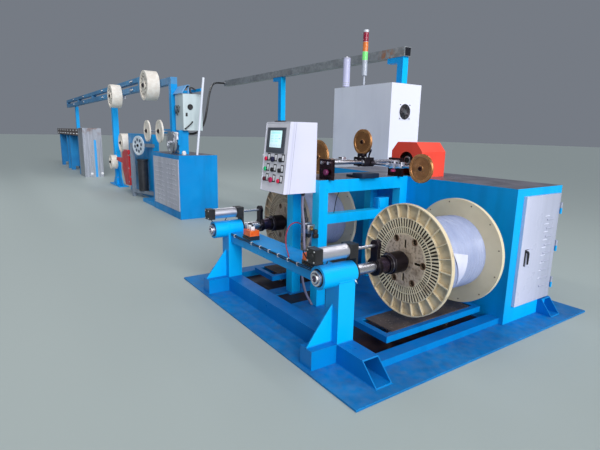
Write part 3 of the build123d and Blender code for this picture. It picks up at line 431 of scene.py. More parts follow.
def metal(name, colour, rough=0.25, brushed=(1, 1, 1), dark=0.35, patch=None):
    """Bare machined metal: fine turning or brushing marks, and darker handled patches."""
    material, tree, shader = finish_of(name, rough, metal=1.0)
    marks = mottle(tree, 60, 4, brushed)
    patches = rise(tree, mottle(tree, 8, 4), 0.42, 0.72, 0, dark)
    shade = tuple(0.35 * v for v in colour[:3]) + (1,)
    edges, eased = rubbed_edges(tree, 0.0015)
    colour = tint(tree, patches, colour, shade)
    colour = tint(tree, times(tree, edges, 0.2), colour, (0.9, 0.9, 0.9, 1))
    if patch:
        colour = patch(tree, colour)
    tree.links.new(colour, shader.inputs["Base Color"])
    tree.links.new(rise(tree, marks, 0.3, 0.7, rough * 0.85, rough * 1.3), shader.inputs["Roughness"])
    emboss(tree, shader, 0.012, 0.0003, marks, eased)
    return material


black_steel = metal("black_steel", (0.035, 0.030, 0.034, 1), 0.38, dark=0.5)
bolt_steel = metal("bolt_steel", (0.55, 0.55, 0.57, 1), 0.28)


def hex_bolt(centre, out, across=0.012, tall=0.007):
    """Hex head with a chamfered crown and a washer under it, pointing out from centre."""
    r = across / 2 / math.cos(math.pi / 6)
    head = turned([(0, 0), (r, 0), (r, 0.8 * tall), (0.82 * r, tall), (0, tall)], centre, out, 6)
    thin = 0.0016
    ring = turned([(0, 0), (1.9 * r, 0), (1.9 * r, thin), (0, thin)], centre, out, 20)
    return [ring, (head[0] + np.array(out, float) * thin, head[1])]


screw_end = [(0, 0), (0.0035, 0), (0.0035, 0.021), (0.0025, 0.022), (0, 0.022)]
wear_rings, set_screws = [], []
for x in (-station_x, station_x):
    ring_outline = [(0.0440, 0), (0.0440, -0.0022), (0.0490, -0.0022), (0.0505, -0.0012), (0.0505, 0)]
    wear_rings.append(turned(ring_outline + ring_outline[:1], (x, sleeve_y0 + 0.0004, reel_axis_z),
                             (0, 1, 0), 48))
    lean = math.radians(-32)
    out = (math.cos(lean), 0, math.sin(lean))
    foot = (x + sleeve_r * out[0], -0.829, reel_axis_z + sleeve_r * out[2])
    set_screws += hex_bolt(foot, out, 0.013, 0.011)
    set_screws.append(turned(screw_end, foot, out, 12))
piece("sleeve_wear_rings", wear_rings, black_steel)
piece("sleeve_set_screws", set_screws, bolt_steel)

# Quills: hard-chromed turned bars that slide in the sleeves, darker from the collar inwards, and painted
# with the shade of the centre hole at the outer end. A turned ring surrounds each centre-drilled outer end,
# and a dull band each clamping cup.
chrome = metal("hard_chrome", (0.70, 0.70, 0.75, 1), 0.26, (1, 60, 1), 0.06)
dark_from_y = -0.640
spindle_end_y = -1.069


def dark_inwards_and_end(tree, colour):
    """Darker purple-grey on the bright steel from the collar inwards, and painted shade of the centre hole
    on the centre-drilled end.
    """
    inwards = rise(tree, height(tree, "Y"), dark_from_y, dark_from_y + 0.004)
    end = rise(tree, height(tree, "Y"), spindle_end_y + 0.004, spindle_end_y)
    return tint(tree, reckon(tree, "MAXIMUM", inwards, end), colour, (0.10, 0.072, 0.125, 1))


quill_chrome = metal("quill_chrome", (0.74, 0.73, 0.79, 1), 0.27, (1, 60, 1), 0.05, patch=dark_inwards_and_end)
dull_steel = metal("dull_steel", (0.17, 0.15, 0.18, 1), 0.34, (1, 60, 1), 0.1)
blackened = metal("blackened_steel", (0.045, 0.036, 0.045, 1), 0.36, (1, 12, 1), 0.55)
dress(quill_chrome, "quill_near", "quill_far")
dress(chrome, "lift_rams", "wheel_axles")
dress(blackened, "quill_nose_near", "quill_nose_far", "drive_chuck_near", "drive_chuck_far")
cup_band_y = -0.527
end_ring = [(0.0185, 0.001), (0.0185, -0.0045), (0.026, -0.005), (0.0275, -0.0035), (0.0285, 0.001),
            (0.0185, 0.001)]
cup_ring = [(0.0572, 0), (0.0592, 0.0015), (0.0592, 0.0065), (0.0572, 0.008), (0.055, 0.004), (0.0572, 0)]
for side, body in ((station_x, "quill_near"), (-station_x, "quill_far")):
    end_cap = turned(end_ring, (side, spindle_end_y, reel_axis_z), (0, 1, 0), 40)
    band = turned(cup_ring, (side, cup_band_y, reel_axis_z), (0, 1, 0), 56)
    piece(body + "_end_ring", [end_cap], chrome, body)
    piece(body + "_cup_band", [band], dull_steel, body)

# Air cylinders that drive the quills: a smooth aluminium barrel between two black end caps,
# four cap screws in each cap, a dished end disc, and a push-in fitting in the side of both caps.
aluminium = metal("anodised_aluminium", (0.80, 0.79, 0.86, 1), 0.36, (1, 30, 1), 0.12)
dress(aluminium, "cylinder_barrels")


def moulded(name, colour, rough=0.45, spots=0.25, grain=400):
    """Moulded plastic or rubber: fine grain, dusty clouds and edges worn paler."""
    material, tree, shader = finish_of(name, rough)
    dusty = rise(tree, mottle(tree, 14, 5), 0.42, 0.75, 0, spots)
    pale = tuple(min(1, 1.5 * v + 0.05) for v in colour[:3]) + (1,)
    edges, eased = rubbed_edges(tree, 0.001)
    worn = reckon(tree, "MAXIMUM", dusty, times(tree, edges, 0.5))
    tree.links.new(tint(tree, worn, colour, pale), shader.inputs["Base Color"])
    tree.links.new(rise(tree, mottle(tree, 25, 4), 0.3, 0.7, rough - 0.08, rough + 0.15),
                   shader.inputs["Roughness"])
    emboss(tree, shader, 0.12, 0.0006, mottle(tree, grain, 2), eased)
    return material


black_plastic = moulded("black_plastic", (0.018, 0.018, 0.020, 1), 0.38)
dress(black_plastic, "cylinder_caps", "conduit")
grey_plastic = moulded("grey_plastic", (0.42, 0.43, 0.45, 1), 0.4)
cylinder_z = 0.645
cap_y0, cap_y1 = -1.097, -0.800
cap_half = 0.040
outer_port_y, inner_port_y, port_z = -1.074, -0.830, cylinder_z + 0.012
fitting_length = 0.021
screw_line = [(0, 0.0016), (0.0028, 0.0016), (0.0028, 0.004), (0.0048, 0.004), (0.0052, 0.0034),
              (0.0052, 0), (0, 0)]
dish_line = [(0, 0.0035), (0.015, 0.0035), (0.017, 0.0008), (0.0185, 0.0008), (0.0185, 0.003),
             (0.021, 0.0035), (0.0225, 0), (0, 0)]
fitting_line = [(0, 0), (0.0095, 0), (0.0095, 0.006), (0.0075, 0.007), (0.0075, 0.014), (0.0085, 0.015),
                (0.0085, 0.020), (0.004, fitting_length), (0, fitting_length)]
cap_screws, fittings, end_discs = [], [], []
for x in (-station_x, station_x):
    for dx in (-0.029, 0.029):
        for dz in (-0.029, 0.029):
            for y, way in ((cap_y0, -1), (cap_y1, 1)):
                cap_screws.append(turned(screw_line, (x + dx, y, cylinder_z + dz), (0, way, 0), 16))
    end_discs.append(turned(dish_line, (x, cap_y0, cylinder_z), (0, -1, 0), 36))
    for port_y in (outer_port_y, inner_port_y):
        fittings.append(turned(fitting_line, (x - cap_half, port_y, port_z), (-1, 0, 0), 16))
piece("cylinder_screws", cap_screws, bolt_steel)
piece("cylinder_end_discs", end_discs, black_plastic)
piece("cylinder_fittings", fittings, grey_plastic)

# Air tubes: two black plastic tubes along the front top edge of the tie, strapped to it with white
# ties, and a short slack one down to them from each cylinder fitting.
tube_black = moulded("air_tube_black", (0.012, 0.013, 0.016, 1), 0.30)
strap_white = moulded("strap_white", (0.78, 0.80, 0.82, 1), 0.4)


def cord(name, route, radius, finish, length=None):
    """Round cord on the fixed frame: a smooth curve that starts and ends on its route and is guided by the
    points between. Its length, that curve's unless one is given, is worked out but not kept."""
    curve = bpy.data.curves.new(name, "CURVE")
    curve.dimensions = "3D"
    spline = curve.splines.new("NURBS")
    spline.points.add(len(route) - 1)
    spline.points.foreach_set("co", np.c_[np.array(route, float), np.ones(len(route))].ravel())
    spline.order_u = 3
    spline.use_endpoint_u = True
    spline.resolution_u = 8
    curve.bevel_depth = radius
    curve.bevel_resolution = 3
    curve.use_fill_caps = True
    curve.materials.append(finish)
    made = bpy.data.objects.new(name, curve)
    bpy.context.collection.objects.link(made)
    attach(made, "line_frame")
    p = np.array(route, float)
    mids = np.vstack((p[:1], (p[1:-2] + p[2:-1]) / 2, p[-1:]))
    t = np.linspace(0, 1, 33)[:, None, None]
    arcs = (1 - t) ** 2 * mids[:-1] + 2 * t * (1 - t) * p[1:-1] + t**2 * mids[1:]
    length = length or round(float(np.linalg.norm(np.diff(arcs, axis=0), axis=2).sum()), 4)
    return made


tie_top_z = 0.492
tube_r, tube_start_x, tube_end_x = 0.0031, -0.61, 0.60
tubes, straps = [], []
share = np.linspace(0, 1, 150)
for number, drop in enumerate((0.0, 0.009)):
    run_x = tube_start_x + share * (tube_end_x - tube_start_x)
    run_y = tie_front_y - 0.0050 - 0.003 * np.abs(np.sin(5 * math.pi * share)) - 0.002 * (drop > 0)
    run_z = tie_top_z - 0.004 - drop + 0.0022 * np.sin(2 * math.pi * share * (5 + number))
    tubes.append(swept(np.c_[run_x, run_y, run_z], tube_r, 8))
for x in (-0.265, -0.14, -0.02, 0.10, 0.22, 0.33, -0.54, 0.55):
    loop_t = np.linspace(0, 2 * math.pi, 17)
    loop = np.c_[x + 0 * loop_t, tie_front_y - 0.0065 + 0.0105 * np.cos(loop_t),
                 tie_top_z - 0.0085 + 0.0125 * np.sin(loop_t)]
    straps.append(swept(loop, 0.0013, 6, (1, 0, 0)))
    straps.append(rounded_block((x - 0.0030, tie_front_y - 0.0185, tie_top_z - 0.002),
                                (x + 0.0030, tie_front_y - 0.0140, tie_top_z + 0.004), 0.001))
piece("tie_tubes", tubes, tube_black)
piece("tube_straps", straps, strap_white)
for name, x in (("cylinder_tube_near", station_x), ("cylinder_tube_far", -station_x)):
    reach = x - cap_half - fitting_length
    cord(name, [(reach, outer_port_y, port_z), (reach - 0.035, outer_port_y, port_z),
                (reach - 0.075, -1.055, cylinder_z - 0.01), (reach - 0.10, -1.005, cylinder_z - 0.07),
                (reach - 0.105, -0.960, cylinder_z - 0.125), (reach - 0.090, -0.936, cylinder_z - 0.150)],
         0.0032, tube_black)
    cord(name + "_inner", [(reach, inner_port_y, port_z), (reach - 0.02, -0.832, port_z),
                           (reach - 0.045, -0.850, cylinder_z - 0.01),
                           (reach - 0.055, -0.885, cylinder_z - 0.07),
                           (reach - 0.048, -0.915, cylinder_z - 0.125),
                           (reach - 0.035, -0.934, cylinder_z - 0.150)], 0.0032, tube_black)

# Valve boxes on the tie: a black valve body under an orange plastic cover held by two screws, with
# push-in fittings along its front, a white plug at its end, and three more on top of the far one.
orange_clear, tree, shader = finish_of("orange_cover", 0.24, coat=0.4)
cover_z = 0.524
is_cover = rise(tree, height(tree), cover_z - 0.001, cover_z + 0.001)
cover_tone = tint(tree, rise(tree, mottle(tree, 30, 4), 0.35, 0.7), (0.92, 0.16, 0.012, 1),
                  (0.70, 0.075, 0.006, 1))
edge_share, edge_normal = rubbed_edges(tree, 0.002)
cover_tone = tint(tree, edge_share, cover_tone, (1.0, 0.38, 0.12, 1))
tree.links.new(tint(tree, is_cover, (0.02, 0.02, 0.022, 1), cover_tone), shader.inputs["Base Color"])
tree.links.new(edge_normal, shader.inputs["Normal"])
dress(orange_clear, "valve_boxes")
valve_top_z = 0.564
valve_mid_y = -0.885
cover_screw = [(0, 0.0008), (0.0035, 0.0008), (0.0035, 0.0022), (0.0045, 0.002), (0.0048, 0), (0, 0)]
push_fit = [(0, 0), (0.0062, 0), (0.0062, 0.006), (0.005, 0.007), (0.005, 0.012), (0.0035, 0.0125),
            (0, 0.0125)]
plug_top = [(0, 0), (0.007, 0), (0.007, 0.008), (0.005, 0.009), (0.005, 0.014), (0, 0.014)]
white_plastic = moulded("white_plastic", (0.74, 0.75, 0.78, 1), 0.38, 0.4)
valve_screws, push_fits, connectors = [], [], []
for x0, x1 in ((0.362, 0.472), (-0.420, -0.310)):
    for x in (x0 + 0.012, x1 - 0.012):
        valve_screws.append(turned(cover_screw, (x, valve_mid_y, valve_top_z), (0, 0, 1), 16))
    for x in np.linspace(x0 + 0.018, x1 - 0.018, 4):
        push_fits.append(turned(push_fit, (x, tie_front_y, 0.508), (0, -1, 0), 14))
    connectors.append(rounded_block((x0 - 0.016, valve_mid_y - 0.022, 0.500),
                                    (x0 + 0.001, valve_mid_y + 0.022, 0.530), 0.003))
for x, tall in ((-0.398, 0.030), (-0.372, 0.036), (-0.346, 0.028)):
    connectors.append(rounded_block((x - 0.009, valve_mid_y - 0.016, valve_top_z - 0.001),
                                    (x + 0.009, valve_mid_y + 0.016, valve_top_z + tall), 0.003))
    push_fits.append(turned(plug_top, (x, valve_mid_y, valve_top_z + tall - 0.0005), (0, 0, 1), 14))
piece("valve_cover_screws", valve_screws, bolt_steel)
piece("valve_push_fittings", push_fits, black_plastic)
piece("valve_connectors", connectors, white_plastic)

# Reels: moulded in cream plastic, painted near black with shade in the lattice pockets and speckled with
# dirt round the hub, with bolts in the recesses behind dark lips of painted shade and small holes near the
# rim of the drive-side flange.
reel_front_y = -0.381
winding_y0, winding_y1 = -0.355, 0.106
reel_r = 0.355
lattice_r = 0.742 * reel_r + 0.004
recess_floor_y = winding_y0 - 0.006


def reel_plastic_for(name, centre_x, age):
    """Cream plastic of one reel: painted shade near black in the lattice pockets and a little brown on every
    recess floor, darker and dirtier round the hub, and browner all over with age."""
    material, tree, shader = finish_of(name, 0.5)
    spot = whereabouts(tree, (1, 0, 1), (-centre_x, 0, -reel_axis_z))
    out = wire(tree, "VectorMath", {0: spot}, operation="LENGTH").outputs["Value"]
    y = height(tree, "Y")
    colour = tint(tree, rise(tree, mottle(tree, 5, 4), 0.35, 0.7), (0.88, 0.75, 0.52, 1),
                  (0.76, 0.63, 0.42, 1))
    inner_side = is_over(tree, y, -0.20)
    colour = tint(tree, inner_side, colour, tint(tree, rise(tree, mottle(tree, 4, 5), 0.4, 0.66),
                                                 (0.84, 0.74, 0.52, 1), (0.74, 0.64, 0.44, 1)))
    sunk = rise(tree, y, reel_front_y + 0.0008, reel_front_y + 0.0030)
    sunk = times(tree, sunk, is_under(tree, y, winding_y0 - 0.0005))
    # Painted shade: the lattice pockets near black and every recess floor a little browner.
    inside_lattice = is_under(tree, out, lattice_r)
    colour = tint(tree, times(tree, times(tree, sunk, inside_lattice), 0.95), colour,
                  (0.030, 0.020, 0.017, 1))
    colour = tint(tree, times(tree, sunk, 0.16), colour, (0.30, 0.22, 0.13, 1))
    speckle = rise(tree, mottle(tree, 55, 8), 0.50, 0.64)
    near_hub = rise(tree, out, 0.155, 0.172, 0.7, 0)
    front = is_under(tree, y, reel_front_y + 0.0008)
    colour = tint(tree, times(tree, near_hub, front), colour, (0.54, 0.40, 0.31, 1))
    dirt = times(tree, times(tree, near_hub, front), speckle)
    colour = tint(tree, dirt, colour, (0.17, 0.105, 0.075, 1))
    hub_dark = rise(tree, out, 0.070, 0.076, 0.3, 0)
    colour = tint(tree, times(tree, hub_dark, front), colour, (0.09, 0.060, 0.045, 1))
    colour = tint(tree, times(tree, age, is_under(tree, y, -0.2)), colour, (0.36, 0.27, 0.215, 1))
    stains = rise(tree, mottle(tree, 17, 6), 0.56, 0.74, 0, 0.6)
    colour = tint(tree, times(tree, stains, is_under(tree, y, -0.2)), colour, (0.20, 0.135, 0.080, 1))
    edges, eased = rubbed_edges(tree, 0.0025)
    edge_tone = tint(tree, sunk, (0.97, 0.89, 0.70, 1), (0.17, 0.10, 0.055, 1))
    colour = tint(tree, times(tree, edges, 0.75), colour, edge_tone)
    tree.links.new(colour, shader.inputs["Base Color"])
    tree.links.new(rise(tree, mottle(tree, 30, 4), 0.3, 0.7, 0.38, 0.66), shader.inputs["Roughness"])
    emboss(tree, shader, 0.2, 0.001, mottle(tree, 130, 3), eased)
    return material


recess_lip = [(0.0168, 0.001), (0.0168, -0.0010), (0.0205, -0.0016), (0.0225, 0.0), (0.0225, 0.001),
              (0.0168, 0.001)]
rim_hole = [(0, 0.0014), (0.0034, 0.0014), (0.0042, 0.0004), (0.0050, 0.0004), (0.0050, 0), (0, 0)]
rim_shadow = moulded("rim_hole_dark", (0.16, 0.115, 0.075, 1), 0.7)
rust_and_shade_brown = moulded("recess_bolt_brown", (0.16, 0.085, 0.045, 1), 0.6, 0.6)
for side, suffix in ((station_x, "near"), (-station_x, "far")):
    dress(reel_plastic_for("reel_cream_" + suffix, side, 0.0 if side > 0 else 0.6), "reel_" + suffix)
    bolts, holes = [], []
    for around in np.radians(60 * np.arange(6)):
        out = 0.42 * reel_r
        x, z = side + out * math.cos(around), reel_axis_z + out * math.sin(around)
        bolts += hex_bolt((x, recess_floor_y, z), (0, -1, 0), 0.016, 0.009)
        # A dark brown lip round each recess mouth is painted shade of the recess; the bolts themselves are
        # rusty brown.
        bolts.append(turned(recess_lip, (x, reel_front_y, z), (0, 1, 0), 32))
    for around in np.radians(np.arange(12) * 30 + 12):
        out = reel_r - 0.022
        centre = (side + out * math.cos(around), winding_y1 - 0.0002, reel_axis_z + out * math.sin(around))
        holes.append(turned(rim_hole, centre, (0, -1, 0), 18))
    piece("recess_bolts_" + suffix, bolts, rust_and_shade_brown, "reel_" + suffix)
    piece("rim_holes_" + suffix, holes, rim_shadow, "reel_" + suffix)

# Wound cable: a white insulated wire of about 4 mm, laid turn beside turn on the hub, each turn a
# little out of true. A corner of clear film lies over the near reel's outer turns.
cable_white, tree, shader = finish_of("cable_white", 0.34, coat=0.25)
cable_tone = tint(tree, rise(tree, mottle(tree, 6, 4, (1, 3, 1)), 0.35, 0.7), (0.41, 0.465, 0.655, 1),
                  (0.31, 0.365, 0.56, 1))
cable_tone = tint(tree, rise(tree, mottle(tree, 60, 4, (1, 4, 1)), 0.58, 0.78, 0, 0.35), cable_tone,
                  (0.30, 0.33, 0.48, 1))
turn_lines = rise(tree, mottle(tree, 150, 2, (0.12, 1, 0.12)), 0.44, 0.56, 0, 0.42)
cable_tone = tint(tree, turn_lines, cable_tone, (0.33, 0.36, 0.52, 1))
tree.links.new(cable_tone, shader.inputs["Base Color"])
tree.links.new(rise(tree, mottle(tree, 40, 3), 0.3, 0.7, 0.26, 0.46), shader.inputs["Roughness"])
winding_r = 0.245
wire_pitch = 0.0040
turn_lean = 0.010


def wound(centre_x, turns, per_turn, sides):
    """Outside of a wound cable, s turns along it and t round it. Radius = winding_r - 5 mm + a third
    of a wire times |sin(pi (s + t / 2 pi))| + a slow swell, and y is pushed sideways by turn_lean."""
    s = np.linspace(0, turns, turns * per_turn + 1)[:, None]
    t = np.linspace(0, 2 * math.pi, sides, endpoint=False)[None, :]
    pitch = (winding_y1 - winding_y0) / turns
    bulge = np.abs(np.sin(math.pi * (s + t / (2 * math.pi))))
    layer = 0.0030 * np.sin(1.7 * s * pitch / 0.05 + 1.3 * np.sin(t)) * np.sin(math.pi * s / turns)
    radius = winding_r - 0.0050 + 0.35 * wire_pitch * bulge + layer + 0.0008 * np.sin(5 * t + s * 0.9)
    y = winding_y0 + s * pitch + turn_lean * np.sin(t + 0.6) * np.sin(math.pi * s / turns) ** 0.5
    y = np.clip(y, winding_y0 + 0.0005, winding_y1 - 0.0005)
    points = np.stack((centre_x + radius * np.cos(t), y + 0 * t, reel_axis_z + radius * np.sin(t)), -1)
    core = np.array((centre_x, 0, reel_axis_z))
    hub = np.array([0.6, 1, 0.6])
    ends = [core + (points[k] - core) * hub for k in (0, -1)]
    points = np.concatenate((ends[0][None], points, ends[1][None]))
    return points.reshape(-1, 3), skin(points.shape[0], sides)


for side, suffix, per_turn, sides in ((station_x, "near", 5, 128), (-station_x, "far", 4, 80)):
    surface = wound(side, round((winding_y1 - winding_y0) / wire_pitch), per_turn, sides)
    made = piece("wound_cable_" + suffix, [surface], cable_white, "reel_" + suffix, crease=60)
    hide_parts("winding_" + suffix)
film, tree, shader = finish_of("clear_film", 0.12, coat=0.8)
film_tone = tint(tree, rise(tree, mottle(tree, 14, 3), 0.35, 0.7), (0.78, 0.79, 0.95, 1),
                 (0.68, 0.69, 0.88, 1))
tree.links.new(film_tone, shader.inputs["Base Color"])
emboss(tree, shader, 0.35, 0.002, mottle(tree, 26, 3, (1, 0.3, 1)))
film_corners = ((-0.220, math.radians(19)), (-0.083, math.radians(12)), (-0.105, math.radians(-41)))
# Upper face out along s and lower face back, so the sheet is closed; t runs to its pointed corner.
s, t = np.linspace(0, 1, 10), np.linspace(0, 1, 16)[:, None]
s = np.r_[s, s[::-1]][None, :]
film_r = np.where(np.arange(20) < 10, winding_r + 0.0012, winding_r + 0.0004)[None, :] + 0 * t
(ya, ta), (yb, tb), (yc, tc) = film_corners
film_y = (1 - t) * ((1 - s) * ya + s * yb) + t * yc
film_t = (1 - t) * ((1 - s) * ta + s * tb) + t * tc
film_x, film_z = station_x + film_r * np.cos(film_t), reel_axis_z + film_r * np.sin(film_t)
film_points = np.stack((film_x, film_y, film_z), -1)
film_points = np.concatenate((film_points[:1], film_points))
film_points[0] = (film_points[1] + film_points[1, ::-1]) / 2
piece("film_corner", [(film_points.reshape(-1, 3), skin(17, 20))], film, "reel_near",
      crease=60)

# Lift tables: welded angle frames in the pits, each with a ribbed rubber mat on its sheet top,
# dark with wire dust and scuffed where reels are rolled on.
rubber, tree, shader = finish_of("ribbed_rubber", 0.72)
rib_inputs = {"Vector": whereabouts(tree), "Scale": 34.0, "Distortion": 0.6, "Detail": 2.0}
ribs = wire(tree, "TexWave", rib_inputs, bands_direction="Y").outputs[0]
mat_tone = tint(tree, rise(tree, mottle(tree, 6, 6), 0.4, 0.7), (0.045, 0.038, 0.042, 1),
                (0.115, 0.085, 0.075, 1))
mat_tone = tint(tree, rise(tree, mottle(tree, 90, 3), 0.62, 0.70, 0, 0.6), mat_tone, (0.24, 0.20, 0.18, 1))
tree.links.new(mat_tone, shader.inputs["Base Color"])
emboss(tree, shader, 0.35, 0.002, ribs)
dress(rubber, "lift_mat_near", "lift_mat_far")

# Drive cabinet and traverse frame: blue enamel on folded sheet, with a bare grey steel sheet laid
# on top of each, scratched by tools. The weld beads sit where the frame's rails meet its legs.
sheet_top_z = {"drive_cabinet": 0.949, "traverse_frame": 0.9525}


def sheet_topped(top_z):
    """Patch of bare steel sheet above a height."""
    def patch(tree, colour):
        """Grey scratched steel where a face looks up and lies above the height."""
        up = rise(tree, facing(tree), 0.4, 0.6)
        high = is_over(tree, height(tree), top_z)
        sheet = tint(tree, rise(tree, mottle(tree, 7, 6), 0.35, 0.7), (0.155, 0.150, 0.185, 1),
                     (0.085, 0.080, 0.100, 1))
        scratches = rise(tree, mottle(tree, 50, 5, (0.15, 1, 1)), 0.60, 0.68, 0, 0.6)
        sheet = tint(tree, scratches, sheet, (0.30, 0.29, 0.33, 1))
        return tint(tree, times(tree, up, high), colour, sheet)
    return patch


sheet_tones = {"drive_cabinet": (bright_blue, deep_blue),
               "traverse_frame": ((0.008, 0.62, 1.0, 1), (0.004, 0.53, 0.96, 1))}
for name, top_z in sheet_top_z.items():
    dress(painted(name + "_blue", *sheet_tones[name], chip_blue, patch=sheet_topped(top_z),
                  lit_side_tone=lit_side_blue), name)
leg_half = 0.040
table_legs = [(-0.360, -0.505), (-0.360, 0.310), (-0.025, -0.505), (-0.025, 0.310)]
frame_beads = []
for x, y in table_legs:
    frame_beads += foot_weld(x - leg_half, x + leg_half, y - leg_half, y + leg_half, plate_top_z)
cabinet_front_y, cabinet_rear_y, cabinet_near_x = 0.350, 0.92, 0.956
behind_legs_x = (-0.405, 0.02)
for start, end in (((-cabinet_near_x, cabinet_front_y), (behind_legs_x[0], cabinet_front_y)),
                   ((behind_legs_x[1], cabinet_front_y), (cabinet_near_x, cabinet_front_y)),
                   ((cabinet_near_x, cabinet_front_y), (cabinet_near_x, cabinet_rear_y))):
    frame_beads.append(weld_bead(start + (plate_top_z,), end + (plate_top_z,)))
piece("table_welds", frame_beads, frame_blue)
junction_box = rounded_block((-0.055, 0.050, 0.702), (0.005, 0.160, 0.790), 0.004)
box_lid = rounded_block((0.0045, 0.056, 0.708), (0.0105, 0.154, 0.784), 0.002)
piece("rail_junction_box", [junction_box, box_lid], frame_blue)

# Cabinet door: pressed steel in pale grey enamel, greyed towards its hinges by painted shade, with nine
# short louvres in a paler copy of the enamel as painted light and a black swing handle that is screwed on
# through its escutcheon.
door_y0, door_y1 = 0.431, 0.876


def shaded_across(tree, colour):
    """Painted shade that greys the enamel towards the hinge side, with fine upright handling streaks."""
    shade_across_door = rise(tree, height(tree, "Y"), door_y0, door_y1, 0, 0.55)
    streaks = rise(tree, mottle(tree, 22, 4, (1, 1, 0.04)), 0.4, 0.65, 0, 0.35)
    colour = tint(tree, shade_across_door, colour, (0.24, 0.27, 0.34, 1))
    return tint(tree, times(tree, streaks, shade_across_door), colour, (0.14, 0.17, 0.22, 1))


pale_enamel = painted("door_grey", (0.62, 0.64, 0.80, 1), (0.52, 0.55, 0.70, 1), (0.80, 0.83, 0.95, 1), 0.3,
                      0.10, patch=shaded_across)
# Painted light: the louvres take a paler copy of the door's enamel, without its shade.
louvre_lit_enamel = painted("louvre_grey", (0.66, 0.69, 0.82, 1), (0.60, 0.63, 0.76, 1), (0.85, 0.88, 0.96, 1),
                        0.3, 0.05)
dress(pale_enamel, "cabinet_door")
door_x = 0.9785
louvre_y0, louvre_y1 = 0.690, 0.755
lip = np.array([(0, 0.006), (0.0035, 0.004), (0.0055, 0), (0.0050, -0.0015), (0, -0.001)])
along = np.linspace(louvre_y0, louvre_y1, 9)
swell = np.sin(math.pi * np.linspace(0.04, 0.96, 9)) ** 0.4
louvres = []
# Each louvre is the lip's outline carried along the door and swelling out from its two flat ends.
for z in np.linspace(0.745, 0.295, 9):
    hood = np.stack((door_x - 0.0008 + lip[None, :, 0] * swell[:, None],
                     along[:, None] + 0 * lip[None, :, 0], z + lip[None, :, 1] * swell[:, None]), -1)
    ends = np.repeat(hood.mean(axis=1, keepdims=True), len(lip), 1)[[0, -1]]
    hood = np.concatenate((ends[:1], hood, ends[1:]))
    louvres.append((hood.reshape(-1, 3), skin(hood.shape[0], len(lip))))
piece("door_louvres", louvres, louvre_lit_enamel, "cabinet_door")
grip = smooth_line([(door_x, 0.492, 0.520), (door_x + 0.013, 0.494, 0.520), (door_x + 0.0165, 0.500, 0.505),
                    (door_x + 0.0165, 0.502, 0.470), (door_x + 0.0155, 0.504, 0.432)], 6)
grip_r = np.interp(np.arange(len(grip)), (0, 8, len(grip) - 1), (0.008, 0.0075, 0.0050))
escutcheon = rounded_block((door_x - 0.001, 0.480, 0.418), (door_x + 0.004, 0.522, 0.534), 0.002)
piece("door_handle", [swept(grip, grip_r, 10, (0, 1, 0)), escutcheon], black_plastic,
      "cabinet_door")

# Traverse: a blackened carriage on two bright guide rods, over a dark sheet-metal drive housing;
# its clamp, lock lever and bright cross bolts are open to view.
guide_axis_xs, guide_axis_z, guide_r = (-0.055, 0.020), 1.073, 0.0122
stand_ys = ((-0.470, -0.448), (0.228, 0.250))


def dark_stands(tree, colour):
    """Dark enamel on the two bearing stands round the bright rods."""
    in_stand = is_under(tree, height(tree, "Y"), stand_ys[0][1] + 0.0005)
    in_stand = reckon(tree, "MAXIMUM", in_stand, is_over(tree, height(tree, "Y"), stand_ys[1][0] - 0.0005))
    for x in guide_axis_xs:
        spot = whereabouts(tree, (1, 0, 1), (-x, 0, -guide_axis_z))
        off = wire(tree, "VectorMath", {0: spot}, operation="LENGTH").outputs["Value"]
        in_stand = times(tree, in_stand, is_over(tree, off, guide_r))
    return tint(tree, in_stand, colour, (0.060, 0.034, 0.040, 1))


dress(metal("guide_rod_steel", (0.50, 0.49, 0.55, 1), 0.26, (1, 40, 1), 0.1, patch=dark_stands),
      "traverse_rods")
axle_dark_y = -0.118


def dark_axles(tree, colour):
    """Painted shade: the axle ends in front of the pulleys near black, for the dark hole in each hub."""
    return tint(tree, is_under(tree, height(tree, "Y"), axle_dark_y), colour, (0.035, 0.012, 0.009, 1))


dress(metal("arm_steel", (0.50, 0.49, 0.55, 1), 0.26, (40, 1, 1), 0.1, patch=dark_axles), "traverse_arms")
dress(blackened, "traverse_carriage")
drive_housing = [rounded_block((-0.060, -0.180, 0.9535), (0.055, -0.010, 0.990), 0.004),
                 rounded_block((-0.150, -0.165, 0.9535), (-0.058, -0.030, 0.972), 0.003)]
housing_navy = painted("housing_navy", (0.016, 0.034, 0.070, 1), (0.012, 0.024, 0.052, 1),
                       (0.08, 0.14, 0.22, 1), 0.42, 0.3)
piece("traverse_housing", drive_housing, housing_navy)
seal_ring = [(0.0128, 0), (0.0128, 0.003), (0.018, 0.0036), (0.0195, 0.002), (0.0195, 0), (0.0128, 0)]
socket = [(0, 0.003), (0.003, 0.003), (0.003, 0.006), (0.0053, 0.006), (0.0057, 0.005), (0.0057, 0), (0, 0)]
arm_nut = [(0.0115, 0), (0.0115, 0.012), (0.021, 0.012), (0.024, 0.009), (0.024, 0.001), (0.021, 0),
           (0.0115, 0)]
arm_y, arm_z = -0.080, 1.066
carriage_top_z = 1.1075
carriage_parts, bright_parts = [], []
for x in guide_axis_xs:
    for y, way in ((-0.155, -1), (-0.065, 1)):
        bright_parts.append(turned(seal_ring, (x, y, guide_axis_z), (0, way, 0), 28))
for x in (-0.070, -0.017, 0.035):
    for y in (-0.145, -0.090):
        bright_parts.append(turned(socket, (x, y, carriage_top_z), (0, 0, 1), 16))
for x, way in ((-0.074, -1), (0.044, 1)):
    carriage_parts.append(turned(arm_nut, (x, arm_y, arm_z), (way, 0, 0), 6))
lever = smooth_line([(0.010, -0.085, 1.105), (0.014, -0.087, 1.125), (0.030, -0.092, 1.150),
                     (0.040, -0.095, 1.165)], 6)
carriage_parts.append(swept(lever, np.linspace(0.0055, 0.0085, len(lever)), 10, (0, 1, 0)))
